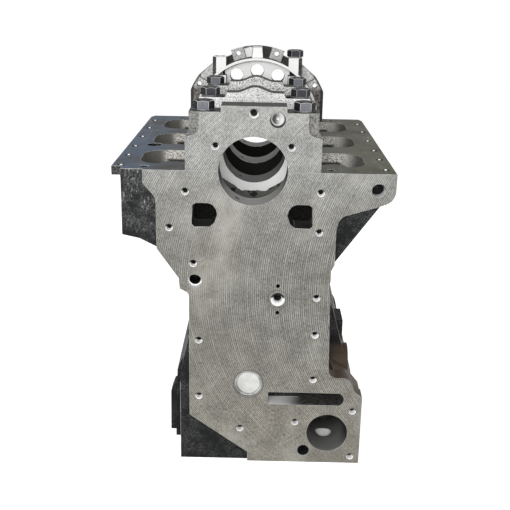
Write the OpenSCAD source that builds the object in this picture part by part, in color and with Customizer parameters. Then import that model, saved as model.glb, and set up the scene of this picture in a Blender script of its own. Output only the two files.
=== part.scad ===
// Bare three-cylinder diesel engine block with its main bearing caps, standing on its cylinder-head
// deck with the sump face up. The origin is the centre of the crankshaft bore in the front face.
// +X is to the right of someone facing the front face, +Y runs to the rear, and +Z points at the sump.

/* [Overall] */
// Distance between neighbouring main bearings
bay_pitch = 112; // [110:0.5:114]
// Length of the front and the rear main bearing housing
end_web = 32; // [30:0.5:34]
// Length of each middle main bearing housing
mid_web = 38; // [34:0.5:40]
// Distance from the crankshaft axis to the cylinder-head deck
deck_drop = 350; // [346:0.5:354]
// Width of the sump flange
rail_width = 307; // [305:0.5:310]
// Thickness of the sump flange
rail_thick = 10; // [8:0.5:12]
// How far the machined front face stands proud of the raw casting
pad_proud = 5; // [3:0.5:8]

/* [Bores] */
// Bore of the main bearing housings
main_bore_d = 74; // [70:0.5:76]
// Bore of the camshaft bearings
cam_bore_d = 47.6; // [46:0.1:49]
// Finished bore of a cylinder liner
cylinder_d = 91.5; // [90:0.1:92]
// Wall of a dry cylinder liner
liner_wall = 1.6; // [1.2:0.1:2]
// Bore of a cam follower guide in the deck
follower_d = 19; // [16:0.5:20]

/* [Main bearing caps] */
// Distance between the two bolts of a cap
cap_bolt_spacing = 106.6; // [105:0.2:108]
// Height of the bolt seats above the joint
cap_seat_h = 62.5; // [60:0.5:64]
// Thickness of the second and third caps
mid_cap_thick = 32; // [28:0.5:34]
// Outer radius of the seal flange on the rear cap
flange_r = 104; // [102:0.5:106]
// Radius of the bolt circle of the seal flange
flange_bolt_r = 96.5; // [95:0.5:97]
// Diameter of the three large holes in the rear cap's web
web_hole_d = 18.8; // [14:0.2:20]

/* [Fasteners and threads] */
// Shank of a cap bolt
cap_bolt_d = 14; // [12:0.5:15]
// Hexagon of a cap bolt, across the flats
cap_bolt_af = 20; // [19:0.5:22]
// Tapped hole in the front face, over the thread crests
front_tap_d = 6.8; // [6:0.1:7.5]
// Tapped hole in the sump flange, over the thread crests
sump_tap_d = 6.8; // [6:0.1:7.5]
// Tapped hole for a cylinder-head stud, over the thread crests
stud_tap_d = 10.8; // [10:0.2:12]
// Tapped hole in the rear face, over the thread crests
rear_tap_d = 10.8; // [10:0.2:12]

/* [Hidden] */
$fn = 48;

// The frame of the block
block_len = 3 * bay_pitch + end_web;
deck_z = -deck_drop;
rail_x = rail_width / 2;
cast_wall_x = 142;
bay_floor_z = -120;
main_r = main_bore_d / 2;
bolt_x = cap_bolt_spacing / 2;
cast_grey = [0.36, 0.36, 0.36];
machined_grey = [0.66, 0.65, 0.63];
black_oxide = [0.10, 0.10, 0.11];
bright_steel = [0.80, 0.80, 0.80];
honed_grey = [0.45, 0.45, 0.46];

// Camshaft, liners and gallery
cam_x = 92;
cam_z = -310.5;
liner_d = cylinder_d + 2 * liner_wall;
liner_flange_d = liner_d + 4.3;
liner_flange_h = 3.8;
liner_end_z = bay_floor_z - 2;
gallery_x = -62.5;
gallery_z = -125;

// Cap bolts and their ring dowels
cap_tap_depth = 31;
bolt_reach = 28;
ring_d = 19;
ring_h = 8;
bolt_head_h = 10.5;
rear_seat_h = 89;
flange_bolt_a = [16.4, 59.5];
flange_hole_d = 7;

// Core plugs
left_plug_z = -296;
right_plug_z = -250;
side_plug_d = 36;
left_boss_x = -91;
right_boss_x = 118;
front_plug = [-1, -249];
front_plug_d = 32;
rear_plug = [0, -235];
rear_plug_d = 48;

function main_y(i) = end_web / 2 + i * bay_pitch;
function half_web(i) = (i == 0 || i == 3) ? end_web / 2 : mid_web / 2;
function cylinder_y(i) = main_y(i) + bay_pitch / 2;
function arc(c, r, a0, a1, n) = [for (i = [0:n]) let (a = a0 + (a1 - a0) * i / n) c + r * [cos(a), sin(a)]];
function flip(points) = [for (i = [len(points) - 1:-1:0]) [-points[i][0], points[i][1]]];
function swell(x, half, h) = abs(x) < half ? h / 2 * (1 + cos(180 * x / half)) : 0;

// Solids that run along an axis of the block
module along_y(from, to) {
    translate([0, to, 0]) rotate([90, 0, 0]) linear_extrude(to - from) children();
}
module y_rod(x, z, d, from, to) {
    along_y(from, to) translate([x, z]) circle(d = d);
}
module z_rod(x, y, d, from, to) {
    translate([x, y, from]) cylinder(h = to - from, d = d);
}
module x_rod(y, z, d, from, to) {
    translate([from, y, z]) rotate([0, 90, 0]) cylinder(h = to - from, d = d);
}

// A tapped hole with a chamfered mouth: the face is at z = 0 and the hole runs down
module tapped(d, depth, lead = 0.8) {
    translate([0, 0, -depth]) cylinder(h = depth + 1, d = d);
    translate([0, 0, -lead]) cylinder(h = lead + 0.01, d1 = d, d2 = d + 2 * lead);
    translate([0, 0, -depth - d * 0.29]) cylinder(h = d * 0.29 + 0.01, d1 = 0.2, d2 = d);
}
module tapped_front(x, z, d, depth) {
    translate([x, 0, z]) rotate([90, 0, 0]) tapped(d, depth);
}
module tapped_rear(x, z, d, depth) {
    translate([x, block_len, z]) rotate([-90, 0, 0]) tapped(d, depth);
}
module tapped_top(x, y, d, depth) {
    translate([x, y, 0]) tapped(d, depth);
}
module tapped_deck(x, y, d, depth) {
    translate([x, y, deck_z]) rotate([180, 0, 0]) tapped(d, depth);
}

// Outline of the machined front face below the crankshaft axis, as [x, z] points
front_outline = concat(
    [[-118, 0]],
    arc([-110, -12], 8, 180, 215, 3),
    arc([-112.3, -33.7], 8, 40, 5, 3),
    [[-104, -88], [-80, -122], [-79, -134]],
    arc([-75, -143], 6, 70, 0, 4),
    [[-69, -290], [-1, -338], [-1, deck_z], [131, deck_z], [131, -264], [122, -257]],
    arc([106, -251], 12, 20, 105, 6),
    arc([100.5, -229.5], 10, 262, 185, 6),
    [[88, -140], [86, -127], [88, -123], [88, -110], [91.5, -103], [91.5, -62]],
    arc([105, -58], 12, 170, 110, 5),
    [[136, -36]],
    arc([138, -19], 15.5, 290, 355, 5),
    [[rail_x, 0]]
);

// Raw casting behind the front face: the two front corners, the crankcase, and the two halves of the
// cylinder block, which begin farther back
pad_back_y = 20;
body_y = 56;
left_front_outline = [
    [-cast_wall_x, -2], [-cast_wall_x, -74], [-123, -78], [-105, -87], [-77, -124], [-76, -134], [-66, -140],
    [-66, -178], [-72, -205], [-78, -230], [-80, -250], [-80, deck_z], [20, deck_z], [20, -2]
];
crankcase_outline = [
    [-cast_wall_x, -2], [-cast_wall_x, -74], [-123, -78], [-105, -87], [-77, -124], [-76, -134],
    [84, -134], [85, -112], [92, -108], [cast_wall_x, -38], [cast_wall_x, -2]
];
left_body_outline = [
    [10, -130], [-66, -130], [-66, -178], [-72, -215], [-79, -238], [-85.5, -252], [-88.3, -260],
    [-90, -330], [-90.5, deck_z], [10, deck_z]
];
right_front_outline = [
    [0, -130], [0, deck_z], [131.5, deck_z], [131.5, -271], [124, -262], [114, -248], [96, -238], [92, -224],
    [92, -160], [84, -148], [84, -130]
];
right_body_outline = [
    [0, -130], [0, deck_z], [131, deck_z], [131, -294], [126, -282], [121, -264], [117, -246], [110, -224],
    [104, -202], [97, -176], [91, -160], [84, -148], [84, -130]
];
rear_outline = [
    [-cast_wall_x, -2], [-cast_wall_x, -80], [-110, -130], [-92, -180], [-88, -300], [-88, deck_z],
    [130, deck_z], [130, -290], [128, -281], [124, -274], [111, -272], [108, -215], [104, -150],
    [cast_wall_x, -70], [cast_wall_x, -2]
];

// Crankcase cavity: its cross-section, and its plan in bay i
bay_section = [
    [-127, 2], [-127, -62], [-99, -74], [-68, bay_floor_z], [68, bay_floor_z], [84, -102], [125, -42], [125, 2]
];
bay_left = -127;
bay_right = 125;
bay_corner_r = 24;
front_boss_x = 88;
front_boss_r = 15;
module bay_plan(i) {
    y0 = main_y(i) + half_web(i);
    y1 = main_y(i + 1) - half_web(i + 1);
    translate([bay_left + bay_corner_r, y0]) square([bay_right - bay_left - 2 * bay_corner_r, y1 - y0]);
    translate([bay_left, y0 + bay_corner_r]) square([bay_right - bay_left, y1 - y0 - 2 * bay_corner_r]);
    for (x = [bay_left + bay_corner_r, bay_right - bay_corner_r], y = [y0 + bay_corner_r, y1 - bay_corner_r])
        translate([x, y]) circle(r = bay_corner_r);
}
module bay(i) {
    intersection() {
        translate([0, 0, bay_floor_z - 1]) linear_extrude(-bay_floor_z + 3) bay_plan(i);
        along_y(0, block_len) polygon(bay_section);
    }
}

// Sump flange, set back at the front left corner
module sump_flange() {
    corner = 12;
    translate([0, 0, -rail_thick])
        linear_extrude(rail_thick)
            polygon([
                [-rail_x, 16], [-cast_wall_x, 16], [-cast_wall_x, 3], [rail_x, 3],
                [rail_x, block_len - corner], [rail_x - 4, block_len],
                [-rail_x + 4, block_len], [-rail_x, block_len - corner]
            ]);
}

// Raised features on the sides of the casting
mounting_y = [main_y(0) + 40, main_y(1) - 18, main_y(2) + 18, main_y(3) - 40];
left_pad_y = [58, 300];
left_pad_len = 20;
pump_pad_z = -322;
module side_features() {
    // Machined pads low on the left side
    for (y = left_pad_y)
        along_y(y, y + left_pad_len)
            polygon([[-70, -276], [-92.5, -279], [-96.5, -290], [-96.8, -342], [-70, -342]]);
    // Core plug bosses
    for (i = [1:2])
        x_rod(cylinder_y(i), left_plug_z, side_plug_d + 8, left_boss_x, -60);
    for (i = [0:1])
        x_rod(cylinder_y(i), right_plug_z, side_plug_d + 8, 60, right_boss_x);
    // Short ledge on the right, and the fuel pump pad under it
    translate([90, 100, -240]) cube([24.3, 40, 31.5]);
    translate([110, cylinder_y(1) - 38, pump_pad_z - 22]) cube([23, 76, 44]);
    // Bosses for the engine mountings on the crankcase
    for (y = mounting_y) {
        x_rod(y, -40, 30, -cast_wall_x - 6, -120);
        x_rod(y, -30, 30, 118, cast_wall_x + 6);
    }
    // Ribs under the sump flange at each middle main bearing
    for (i = [1:2], s = [-1, 1])
        along_y(main_y(i) - 5, main_y(i) + 5)
            polygon([[s * 138, -4], [s * 152, -4], [s * 138, -40]]);
    // Low ribs down the waist of the cylinder block
    for (i = [1:2]) {
        along_y(main_y(i) - 5, main_y(i) + 5) polygon([[-60, -120], [-77, -128], [-77, -200], [-82, -245], [-60, -245]]);
        along_y(main_y(i) - 5, main_y(i) + 5) polygon([[70, -120], [93, -130], [95, -165], [107, -212], [70, -212]]);
    }
    // Half-round boss low on the raw corner of the front face
    y_rod(-13, -341.6, 13, 3, 10);
}

// Drillings and threads of the front face, as [x, z]
front_holes = [
    [-72.5, -23], [73.3, -22], [-90, -63.5], [73.3, -66], [-64, -104], [73.3, -142], [73.3, -186.5],
    [-58, -195.5], [73.3, -242], [-58, -265.5], [120.5, -281.5], [54, -297], [-10, -306.5], [120.5, -341]
];
front_tap_depth = 16;
idler = [30, -144.5];
module window(side) {
    scale([side, 1])
        polygon([
            [38, -48], [39.5, -42], [43, -37.5], [48, -35.5], [61, -35.5], [64.5, -38],
            [65.5, -59], [62.5, -62], [46, -61.5], [41, -57]
        ]);
}
module front_cuts() {
    for (h = front_holes)
        tapped_front(h[0], h[1], front_tap_d, front_tap_depth);
    // Idler gear seat: a shallow register, the centre thread and two oil holes
    y_rod(idler[0], idler[1], 21.6, -1, 0.4);
    tapped_front(idler[0], idler[1], 10, 24);
    translate([idler[0], 0.4, idler[1]]) rotate([90, 0, 0]) translate([0, 0, -3]) cylinder(h = 3.1, d1 = 10, d2 = 16);
    for (dz = [-15.7, 15.9])
        y_rod(idler[0], idler[1] + dz, 4.4, -1, 14);
    // Oil gallery with its plug seat
    y_rod(gallery_x, gallery_z, 16, -1, 9);
    y_rod(gallery_x, gallery_z, 13, 8, block_len + 1);
    // Dowel hole in the right ear, and the camshaft oil drain
    y_rod(134.7, -18.3, 15, -1, 22);
    y_rod(65, -334, 13.6, -1, 40);
    // Cored windows into the first crankcase bay
    along_y(-1, main_y(0) + half_web(0) + 1) {
        window(1);
        window(-1);
    }
    // Cored slot beside the camshaft, deeper at its right end
    along_y(-1, 20) {
        translate([22, -274.5]) square([80, 15.4]);
        translate([102, -266.8]) circle(d = 15.4);
    }
    along_y(18, 50) {
        translate([58, -274.5]) square([44, 15.4]);
        translate([102, -266.8]) circle(d = 15.4);
    }
    // Core plug seat
    y_rod(front_plug[0], front_plug[1], front_plug_d, -1, 12);
}

// Crankshaft, camshaft, cylinders and the passages of the deck
sump_holes_y = [21, 76, 130, 194, 260, 323];
sump_hole_x = 144;
deck_studs_x = [-59, 59];
module shaft_cuts() {
    y_rod(0, 0, main_bore_d, -1, block_len + 1);
    y_rod(cam_x, cam_z, cam_bore_d, -1, block_len + 1);
    for (i = [0:2])
        y_rod(cam_x, cam_z, cam_bore_d + 8, main_y(i) + half_web(i), main_y(i + 1) - half_web(i + 1));
    for (i = [0:3], s = [-1, 1]) {
        tapped_top(s * bolt_x, main_y(i), cap_bolt_d, cap_tap_depth);
        z_rod(s * bolt_x, main_y(i), ring_d, -ring_h, 1);
    }
    // Oil drilling from the gallery to each main bearing
    for (i = [0:3])
        translate([gallery_x, main_y(i), gallery_z])
            rotate([0, atan2(-gallery_x, -gallery_z), 0])
                cylinder(h = norm([gallery_x, gallery_z]) - 20, d = 6);
}
module deck_cuts() {
    for (i = [0:2]) {
        z_rod(0, cylinder_y(i), liner_d, deck_z - 1, bay_floor_z + 1);
        z_rod(0, cylinder_y(i), liner_flange_d, deck_z - 1, deck_z + liner_flange_h);
        // Two cam followers for each cylinder
        for (dy = [-21, 21])
            z_rod(cam_x, cylinder_y(i) + dy, follower_d, deck_z - 1, cam_z);
        // Coolant passages around the bore
        for (a = [35, 145, 180, 215, 325])
            z_rod(62 * cos(a), cylinder_y(i) + 62 * sin(a), 10, deck_z - 1, deck_z + 30);
    }
    for (x = deck_studs_x, i = [0:3])
        tapped_deck(x, main_y(i), stud_tap_d, 26);
}
module rear_cuts() {
    for (p = [[126, -24], [110, -98], [84, -190], [76, -256], [46, -336]], s = [-1, 1])
        tapped_rear(s * p[0], p[1], rear_tap_d, 24);
    // Dowel holes, and the lower half of the seal flange's bolt circle
    for (s = [-1, 1]) {
        y_rod(s * 128, -54, 12.7, block_len - 20, block_len + 1);
        for (a = flange_bolt_a)
            tapped_rear(s * flange_bolt_r * sin(a), -flange_bolt_r * cos(a), flange_hole_d, 14);
    }
    y_rod(rear_plug[0], rear_plug[1], rear_plug_d, block_len - 12, block_len + 1);
    y_rod(gallery_x, gallery_z, 16, block_len - 9, block_len + 1);
}
module top_cuts() {
    for (y = sump_holes_y, s = [-1, 1])
        tapped_top(s * sump_hole_x, y, sump_tap_d, rail_thick + 6);
    tapped_top(-118, 17, 8.5, 16);
    tapped_top(84, 15, sump_tap_d, 16);
    for (s = [-1, 1])
        tapped_top(s * 108, block_len - 14, sump_tap_d, 16);
    // Dipstick guide in the second bearing web
    z_rod(-122, main_y(1) + 14, 18, -34, 1);
}
module side_cuts() {
    for (i = [1:2])
        x_rod(cylinder_y(i), left_plug_z, side_plug_d, left_boss_x - 9, left_boss_x + 12);
    for (i = [0:1])
        x_rod(cylinder_y(i), right_plug_z, side_plug_d, right_boss_x - 12, right_boss_x + 9);
    // Threads of the left pads
    for (y = left_pad_y, z = [-330, -294])
        x_rod(y + left_pad_len / 2, z, 8.5, -98, -80);
    // Fuel pump opening and its two threads
    x_rod(cylinder_y(1), pump_pad_z, 30, cam_x + 15, 134);
    for (dy = [-28, 28])
        x_rod(cylinder_y(1) + dy, pump_pad_z, 6.8, 119, 134);
    // Threads of the engine mounting bosses
    for (y = mounting_y) {
        x_rod(y, -40, 12, -cast_wall_x - 7, -130);
        x_rod(y, -30, 12, 130, cast_wall_x + 7);
    }
}

module engine_block() {
    color(cast_grey)
    difference() {
        union() {
            along_y(0, pad_back_y + 2) polygon(front_outline);
            along_y(pad_proud, body_y + 1) polygon(left_front_outline);
            along_y(pad_back_y, block_len - 2) polygon(crankcase_outline);
            along_y(body_y, block_len - 2) polygon(left_body_outline);
            along_y(pad_back_y, body_y + 1) polygon(right_front_outline);
            along_y(body_y, block_len - 2) polygon(right_body_outline);
            along_y(block_len - 18, block_len) polygon(rear_outline);
            sump_flange();
            side_features();
        }
        for (i = [0:2])
            bay(i);
        front_cuts();
        shaft_cuts();
        deck_cuts();
        rear_cuts();
        top_cuts();
        side_cuts();
    }
    // Half-round bosses of the front bearing web inside the first bay
    color(cast_grey)
    for (s = [-1, 1])
        intersection() {
            translate([s * front_boss_x, end_web, bay_floor_z]) cylinder(h = -bay_floor_z, r = front_boss_r);
            translate([-150, end_web - 1, bay_floor_z]) cube([300, 40, -bay_floor_z]);
            along_y(0, block_len) polygon(bay_section);
        }
}

// What every cap has: the crankshaft bore, two bolt holes and the seats of the ring dowels
module cap_cuts(i, seat_z) {
    y_rod(0, 0, main_bore_d, -1, block_len + 1);
    for (s = [-1, 1]) {
        z_rod(s * bolt_x, main_y(i), cap_bolt_d + 1, -1, seat_z + 60);
        z_rod(s * bolt_x, main_y(i), ring_d, -1, ring_h);
    }
}

// Front cap: its face is machined flush with the block, and stands proud of the rougher body
front_crest_z = 69;
front_cap_side = concat([[57.7, cap_seat_h]], arc([65.7, 46], 8, 180, 235, 4), [[69, 36.8], [72.4, 35.5], [72.4, 0]]);
module front_main_cap() {
    crest_thick = end_web - 1;
    body_x = 68.5;
    color(machined_grey)
    difference() {
        union() {
            along_y(0, 4) polygon(concat(front_cap_side, flip(front_cap_side)));
            along_y(3, end_web - 1)
                polygon([
                    [72, 0], [72, 36], [body_x, 41], [body_x, cap_seat_h],
                    [-body_x, cap_seat_h], [-body_x, 41], [-72, 36], [-72, 0]
                ]);
            translate([-34.7, 0, cap_seat_h - 1]) cube([69.4, crest_thick, front_crest_z - cap_seat_h + 1]);
        }
        cap_cuts(0, cap_seat_h);
        for (s = [-1, 1])
            tapped_front(s * 40.1, 26.6, front_tap_d, 12);
        tapped_front(0, 61.5, 8.5, 10);
        // Blind hole with a drill point
        y_rod(25, 55, 16.4, -1, 8);
        translate([25, 8, 55]) rotate([-90, 0, 0]) cylinder(h = 4, d1 = 16.4, d2 = 0.4);
    }
}

// Second and third caps: a raw casting with a low hump over the bearing
module middle_main_cap(i) {
    side_x = 64.5;
    crest_x = 34.8;
    crest_z = 68;
    hump_h = 6.5;
    hump_x = 23;
    crest_thick = 18;
    steps = 16;
    hump = [for (k = [0:steps]) let (x = hump_x * (1 - 2 * k / steps)) [x, crest_z + swell(x, hump_x, hump_h)]];
    color(cast_grey)
    difference() {
        union() {
            along_y(main_y(i) - mid_cap_thick / 2, main_y(i) + mid_cap_thick / 2)
                polygon([
                    [side_x, 0], [side_x, cap_seat_h], [-side_x, cap_seat_h], [-side_x, 0]
                ]);
            along_y(main_y(i) - crest_thick / 2 - 3, main_y(i) + crest_thick / 2 + 3)
                polygon(concat(
                    [[crest_x, cap_seat_h - 1], [crest_x, crest_z]], hump,
                    [[-crest_x, crest_z], [-crest_x, cap_seat_h - 1]]
                ));
        }
        cap_cuts(i, cap_seat_h);
    }
}
module second_main_cap() {
    middle_main_cap(1);
}
module third_main_cap() {
    middle_main_cap(2);
}

// Rear cap: a half drum with a seal flange behind it and two tall bolt posts
rim_r = 88.4;
rim_inner_r = 84.5;
flange_x = 96;
module half_disc(r) {
    intersection() {
        circle(r = r, $fn = 96);
        translate([-r, 0]) square([2 * r, r + 1]);
    }
}
module rear_main_cap() {
    front_y = block_len - end_web + 1;
    recess_y = front_y + 13;
    pad_y = block_len - 14;
    flange_y = block_len - 9;
    boss_r = 58;
    post_x0 = 43.8;
    post_x1 = 63.2;
    post_cut = 5;
    web_hole_r = 69.5;
    color(machined_grey)
    difference() {
        union() {
            along_y(front_y, flange_y + 1) half_disc(rim_r);
            // Seal flange, clipped at its sides, notched beside the bolt posts and no higher behind them
            along_y(flange_y, block_len)
                difference() {
                    intersection() {
                        half_disc(flange_r);
                        translate([-flange_x, 0]) square([2 * flange_x, flange_r]);
                    }
                    for (s = [-1, 1]) {
                        rotate(-40 * s) translate([-40, 101]) square([80, 20]);
                        rotate(-25 * s) translate([-6, 97.5]) square([12, 12]);
                        translate([s * bolt_x - 13, rear_seat_h]) square([26, 20]);
                    }
                }
            // Pads around the flange bolts, and the tab over the middle
            along_y(pad_y, block_len)
                intersection() {
                    half_disc(flange_r);
                    translate([-flange_x, 0]) square([2 * flange_x, flange_r]);
                    for (a = flange_bolt_a, s = [-1, 1])
                        rotate(-s * a) translate([-9, 60]) square([18, 60]);
                }
            along_y(front_y + 4, block_len)
                polygon([[-8.5, 80], [8.5, 80], [6.5, flange_r - 1.5], [-6.5, flange_r - 1.5]]);
            // Bolt posts, with their outer front corners cut off
            for (s = [-1, 1])
                linear_extrude(rear_seat_h)
                    scale([s, 1])
                        polygon([
                            [post_x0, front_y], [post_x1 - post_cut, front_y], [post_x1, front_y + post_cut],
                            [post_x1, flange_y + 1], [post_x0, flange_y + 1]
                        ]);
        }
        // Recess between the bearing boss and the rim, open at the front
        difference() {
            along_y(front_y - 1, recess_y)
                difference() {
                    half_disc(rim_inner_r);
                    circle(r = boss_r, $fn = 96);
                    translate([-200, -1]) square([400, 13]);
                }
            for (s = [-1, 1])
                along_y(front_y - 2, recess_y + 1)
                    translate([s > 0 ? post_x0 : -post_x1, 0]) square([post_x1 - post_x0, 64]);
        }
        for (a = [-25, 0, 25])
            y_rod(web_hole_r * sin(a), web_hole_r * cos(a), web_hole_d, front_y - 1, block_len + 1);
        for (a = flange_bolt_a, s = [-1, 1])
            y_rod(s * flange_bolt_r * sin(a), flange_bolt_r * cos(a), flange_hole_d, pad_y - 1, block_len + 1);
        cap_cuts(3, rear_seat_h);
    }
}

// Hexagon-headed cap bolt with a washer face, standing in cap i on side s
module cap_bolt(i, s, seat_z, turn) {
    corners = cap_bolt_af / cos(30);
    chamfer = 1.4;
    color(black_oxide)
    translate([s * bolt_x, main_y(i), seat_z]) {
        translate([0, 0, -seat_z - bolt_reach]) cylinder(h = seat_z + bolt_reach + 1, d = cap_bolt_d);
        cylinder(h = 0.9, d = cap_bolt_af - 0.6);
        intersection() {
            translate([0, 0, 0.8]) rotate(turn) cylinder(h = bolt_head_h - 0.8, d = corners, $fn = 6);
            union() {
                cylinder(h = bolt_head_h - chamfer, d = corners + 1);
                translate([0, 0, bolt_head_h - chamfer]) cylinder(h = chamfer, d1 = corners + 0.6, d2 = cap_bolt_af - 1);
            }
        }
    }
}
module front_cap_bolt_left() {
    cap_bolt(0, -1, cap_seat_h, 0);
}
module front_cap_bolt_right() {
    cap_bolt(0, 1, cap_seat_h, 3);
}
module second_cap_bolt_left() {
    cap_bolt(1, -1, cap_seat_h, 8);
}
module second_cap_bolt_right() {
    cap_bolt(1, 1, cap_seat_h, 4);
}
module third_cap_bolt_left() {
    cap_bolt(2, -1, cap_seat_h, 2);
}
module third_cap_bolt_right() {
    cap_bolt(2, 1, cap_seat_h, 5);
}
module rear_cap_bolt_right() {
    cap_bolt(3, 1, rear_seat_h, 2);
}

// Thin rings that locate each cap on the block, around its bolts
module main_cap_ring_dowels() {
    color(bright_steel)
    for (i = [0:3], s = [-1, 1])
        translate([s * bolt_x, main_y(i), -ring_h + 0.5])
            difference() {
                cylinder(h = 2 * ring_h - 1, d = ring_d);
                translate([0, 0, -1]) cylinder(h = 2 * ring_h + 2, d = cap_bolt_d + 1);
            }
}

// Dry cylinder liner with a flange flush with the deck
module cylinder_liner(i) {
    color(honed_grey)
    difference() {
        union() {
            z_rod(0, cylinder_y(i), liner_d, deck_z, liner_end_z);
            z_rod(0, cylinder_y(i), liner_flange_d, deck_z, deck_z + liner_flange_h);
        }
        z_rod(0, cylinder_y(i), cylinder_d, deck_z - 1, liner_end_z + 1);
    }
}
module front_cylinder_liner() {
    cylinder_liner(0);
}
module middle_cylinder_liner() {
    cylinder_liner(1);
}
module rear_cylinder_liner() {
    cylinder_liner(2);
}

// Pressed cup plug: the open side of the cup is at z = 0 and its floor lies below
module cup_plug(d, depth = 9, wall = 1.6, crown = 1.2) {
    color(bright_steel)
    difference() {
        translate([0, 0, -depth]) cylinder(h = depth - 1, d = d);
        translate([0, 0, -depth + wall + crown]) cylinder(h = depth, d = d - 2 * wall);
        translate([0, 0, -depth + wall]) cylinder(h = crown + 0.01, d1 = d - 9, d2 = d - 2 * wall);
    }
}
module front_core_plug() {
    translate([front_plug[0], 0, front_plug[1]]) rotate([90, 0, 0]) cup_plug(front_plug_d, 6);
}
module rear_core_plug() {
    translate([rear_plug[0], block_len, rear_plug[1]]) rotate([-90, 0, 0]) cup_plug(rear_plug_d);
}
module left_core_plug(i) {
    translate([left_boss_x, cylinder_y(i), left_plug_z]) rotate([0, -90, 0]) cup_plug(side_plug_d);
}
module right_core_plug(i) {
    translate([right_boss_x, cylinder_y(i), right_plug_z]) rotate([0, 90, 0]) cup_plug(side_plug_d);
}
module left_core_plug_middle() {
    left_core_plug(1);
}
module left_core_plug_rear() {
    left_core_plug(2);
}
module right_core_plug_front() {
    right_core_plug(0);
}
module right_core_plug_middle() {
    right_core_plug(1);
}

// Threaded plug with a square socket, closing an end of the oil gallery
module gallery_plug(len) {
    color(black_oxide)
    difference() {
        translate([0, 0, -len]) cylinder(h = len, d = 16);
        translate([0, 0, -5]) linear_extrude(6) square(8, center = true);
    }
}
module oil_gallery_plug() {
    translate([gallery_x, block_len, gallery_z]) rotate([-90, 0, 0]) translate([0, 0, -1]) gallery_plug(8);
}

engine_block();
front_main_cap();
second_main_cap();
third_main_cap();
rear_main_cap();
front_cap_bolt_left();
front_cap_bolt_right();
second_cap_bolt_left();
second_cap_bolt_right();
third_cap_bolt_left();
third_cap_bolt_right();
rear_cap_bolt_right();
main_cap_ring_dowels();
front_cylinder_liner();
middle_cylinder_liner();
rear_cylinder_liner();
front_core_plug();
rear_core_plug();
left_core_plug_middle();
left_core_plug_rear();
right_core_plug_front();
right_core_plug_middle();
oil_gallery_plug();
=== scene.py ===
"""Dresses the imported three-cylinder engine block: raw and machined iron, caps, bolts, plugs and threads."""

import math

import bmesh
import bpy
from bpy.props import FloatProperty, FloatVectorProperty, IntProperty, PointerProperty
from mathutils import Matrix, Vector
from mathutils.bvhtree import BVHTree


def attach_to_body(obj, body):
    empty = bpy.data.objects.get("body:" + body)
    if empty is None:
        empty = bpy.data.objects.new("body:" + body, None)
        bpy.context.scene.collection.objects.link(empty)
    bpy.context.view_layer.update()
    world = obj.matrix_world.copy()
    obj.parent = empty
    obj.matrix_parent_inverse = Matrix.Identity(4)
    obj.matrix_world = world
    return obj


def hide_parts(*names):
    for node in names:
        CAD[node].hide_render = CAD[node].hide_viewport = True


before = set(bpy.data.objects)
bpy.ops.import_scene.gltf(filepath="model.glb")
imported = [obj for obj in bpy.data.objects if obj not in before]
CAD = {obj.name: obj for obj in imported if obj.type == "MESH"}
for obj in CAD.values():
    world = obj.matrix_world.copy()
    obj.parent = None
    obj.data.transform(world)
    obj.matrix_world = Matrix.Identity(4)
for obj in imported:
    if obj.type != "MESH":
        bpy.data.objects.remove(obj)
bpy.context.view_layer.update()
MM = 0.001

bl_info = {
    "name": "Engine Block",
    "version": (1, 0, 0),
    "blender": (4, 5, 0),
    "location": "View3D > Sidebar > Engine Block",
    "description": "Builds the finished look of a bare engine block around its CAD parts",
    "category": "Add Mesh",
}

# Axes and heights of the main features, in millimetres, as in the CAD source
BAY_PITCH = 112.0
END_WEB = 32.0
MID_WEB = 38.0
BLOCK_LENGTH = 3 * BAY_PITCH + END_WEB
DECK_Z = -350.0
BOLT_X = 53.3
CAP_SEAT_Z = 62.5
REAR_SEAT_Z = 89.0
MAIN_Y = [END_WEB / 2 + i * BAY_PITCH for i in range(4)]
CYLINDER_Y = [y + BAY_PITCH / 2 for y in MAIN_Y[:3]]

# Axes that run along Y, as [x, z] in millimetres
CAM_AXIS = (92.0, -310.5)
GALLERY_AXIS = (-62.5, -125.0)
DIMPLE_AXIS = (25.0, 55.0)
IDLER_AXIS = (30.0, -144.5)
PLUG_AXIS = (-1.0, -249.0)
EAR_HOLE = (134.7, -18.3)
FRONT_HOLES = [
    (-72.5, -23), (73.3, -22), (-90, -63.5), (73.3, -66), (-64, -104), (73.3, -142), (73.3, -186.5),
    (-58, -195.5), (73.3, -242), (-58, -265.5), (120.5, -281.5), (54, -297), (-10, -306.5), (120.5, -341),
]
CAP_HOLES = [(-40.1, 26.6), (40.1, 26.6), (0, 61.5)]
REAR_HOLES = [(126, -24), (110, -98), (84, -190), (76, -256), (46, -336)]
SCRIBED_RINGS = [(IDLER_AXIS, 10.9), (PLUG_AXIS, 17.2)]

# Other holes, in millimetres and degrees
SUMP_HOLES_Y = [21, 76, 130, 194, 260, 323]
SUMP_HOLE_X = 144.0
STUD_X = 59
FLANGE_ANGLES = [16.4, 59.5]
FLANGE_BOLT_R = 96.5
MOUNTING_Y = [MAIN_Y[0] + 40, MAIN_Y[1] - 18, MAIN_Y[2] + 18, MAIN_Y[3] - 40]
LEFT_PADS_Y = [68, 310]

# Axes that run along Z, as [x, y] in millimetres
DIPSTICK = (-122, MAIN_Y[1] + 14)
FOLLOWER = (CAM_AXIS[0], CYLINDER_Y[0] - 21)

# Faces within this distance of an axis belong to its hole: a little more than the hole's radius
MAIN_BORE_R = 37.6
CAM_TUNNEL_R = 28.4
GALLERY_R = 8.3
TAPPED_R = 4.6
IDLER_R = 11.2
EAR_R = 7.8
FOLLOWER_R = 9.8
DIPSTICK_R = 9.3
CAP_HOLE_R = 5.4
DIMPLE_R = 8.6

# Radii of tapped holes
SMALL_TAP = 3.4
MIDDLE_TAP = 4.25
LARGE_TAP = 5.4

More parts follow.
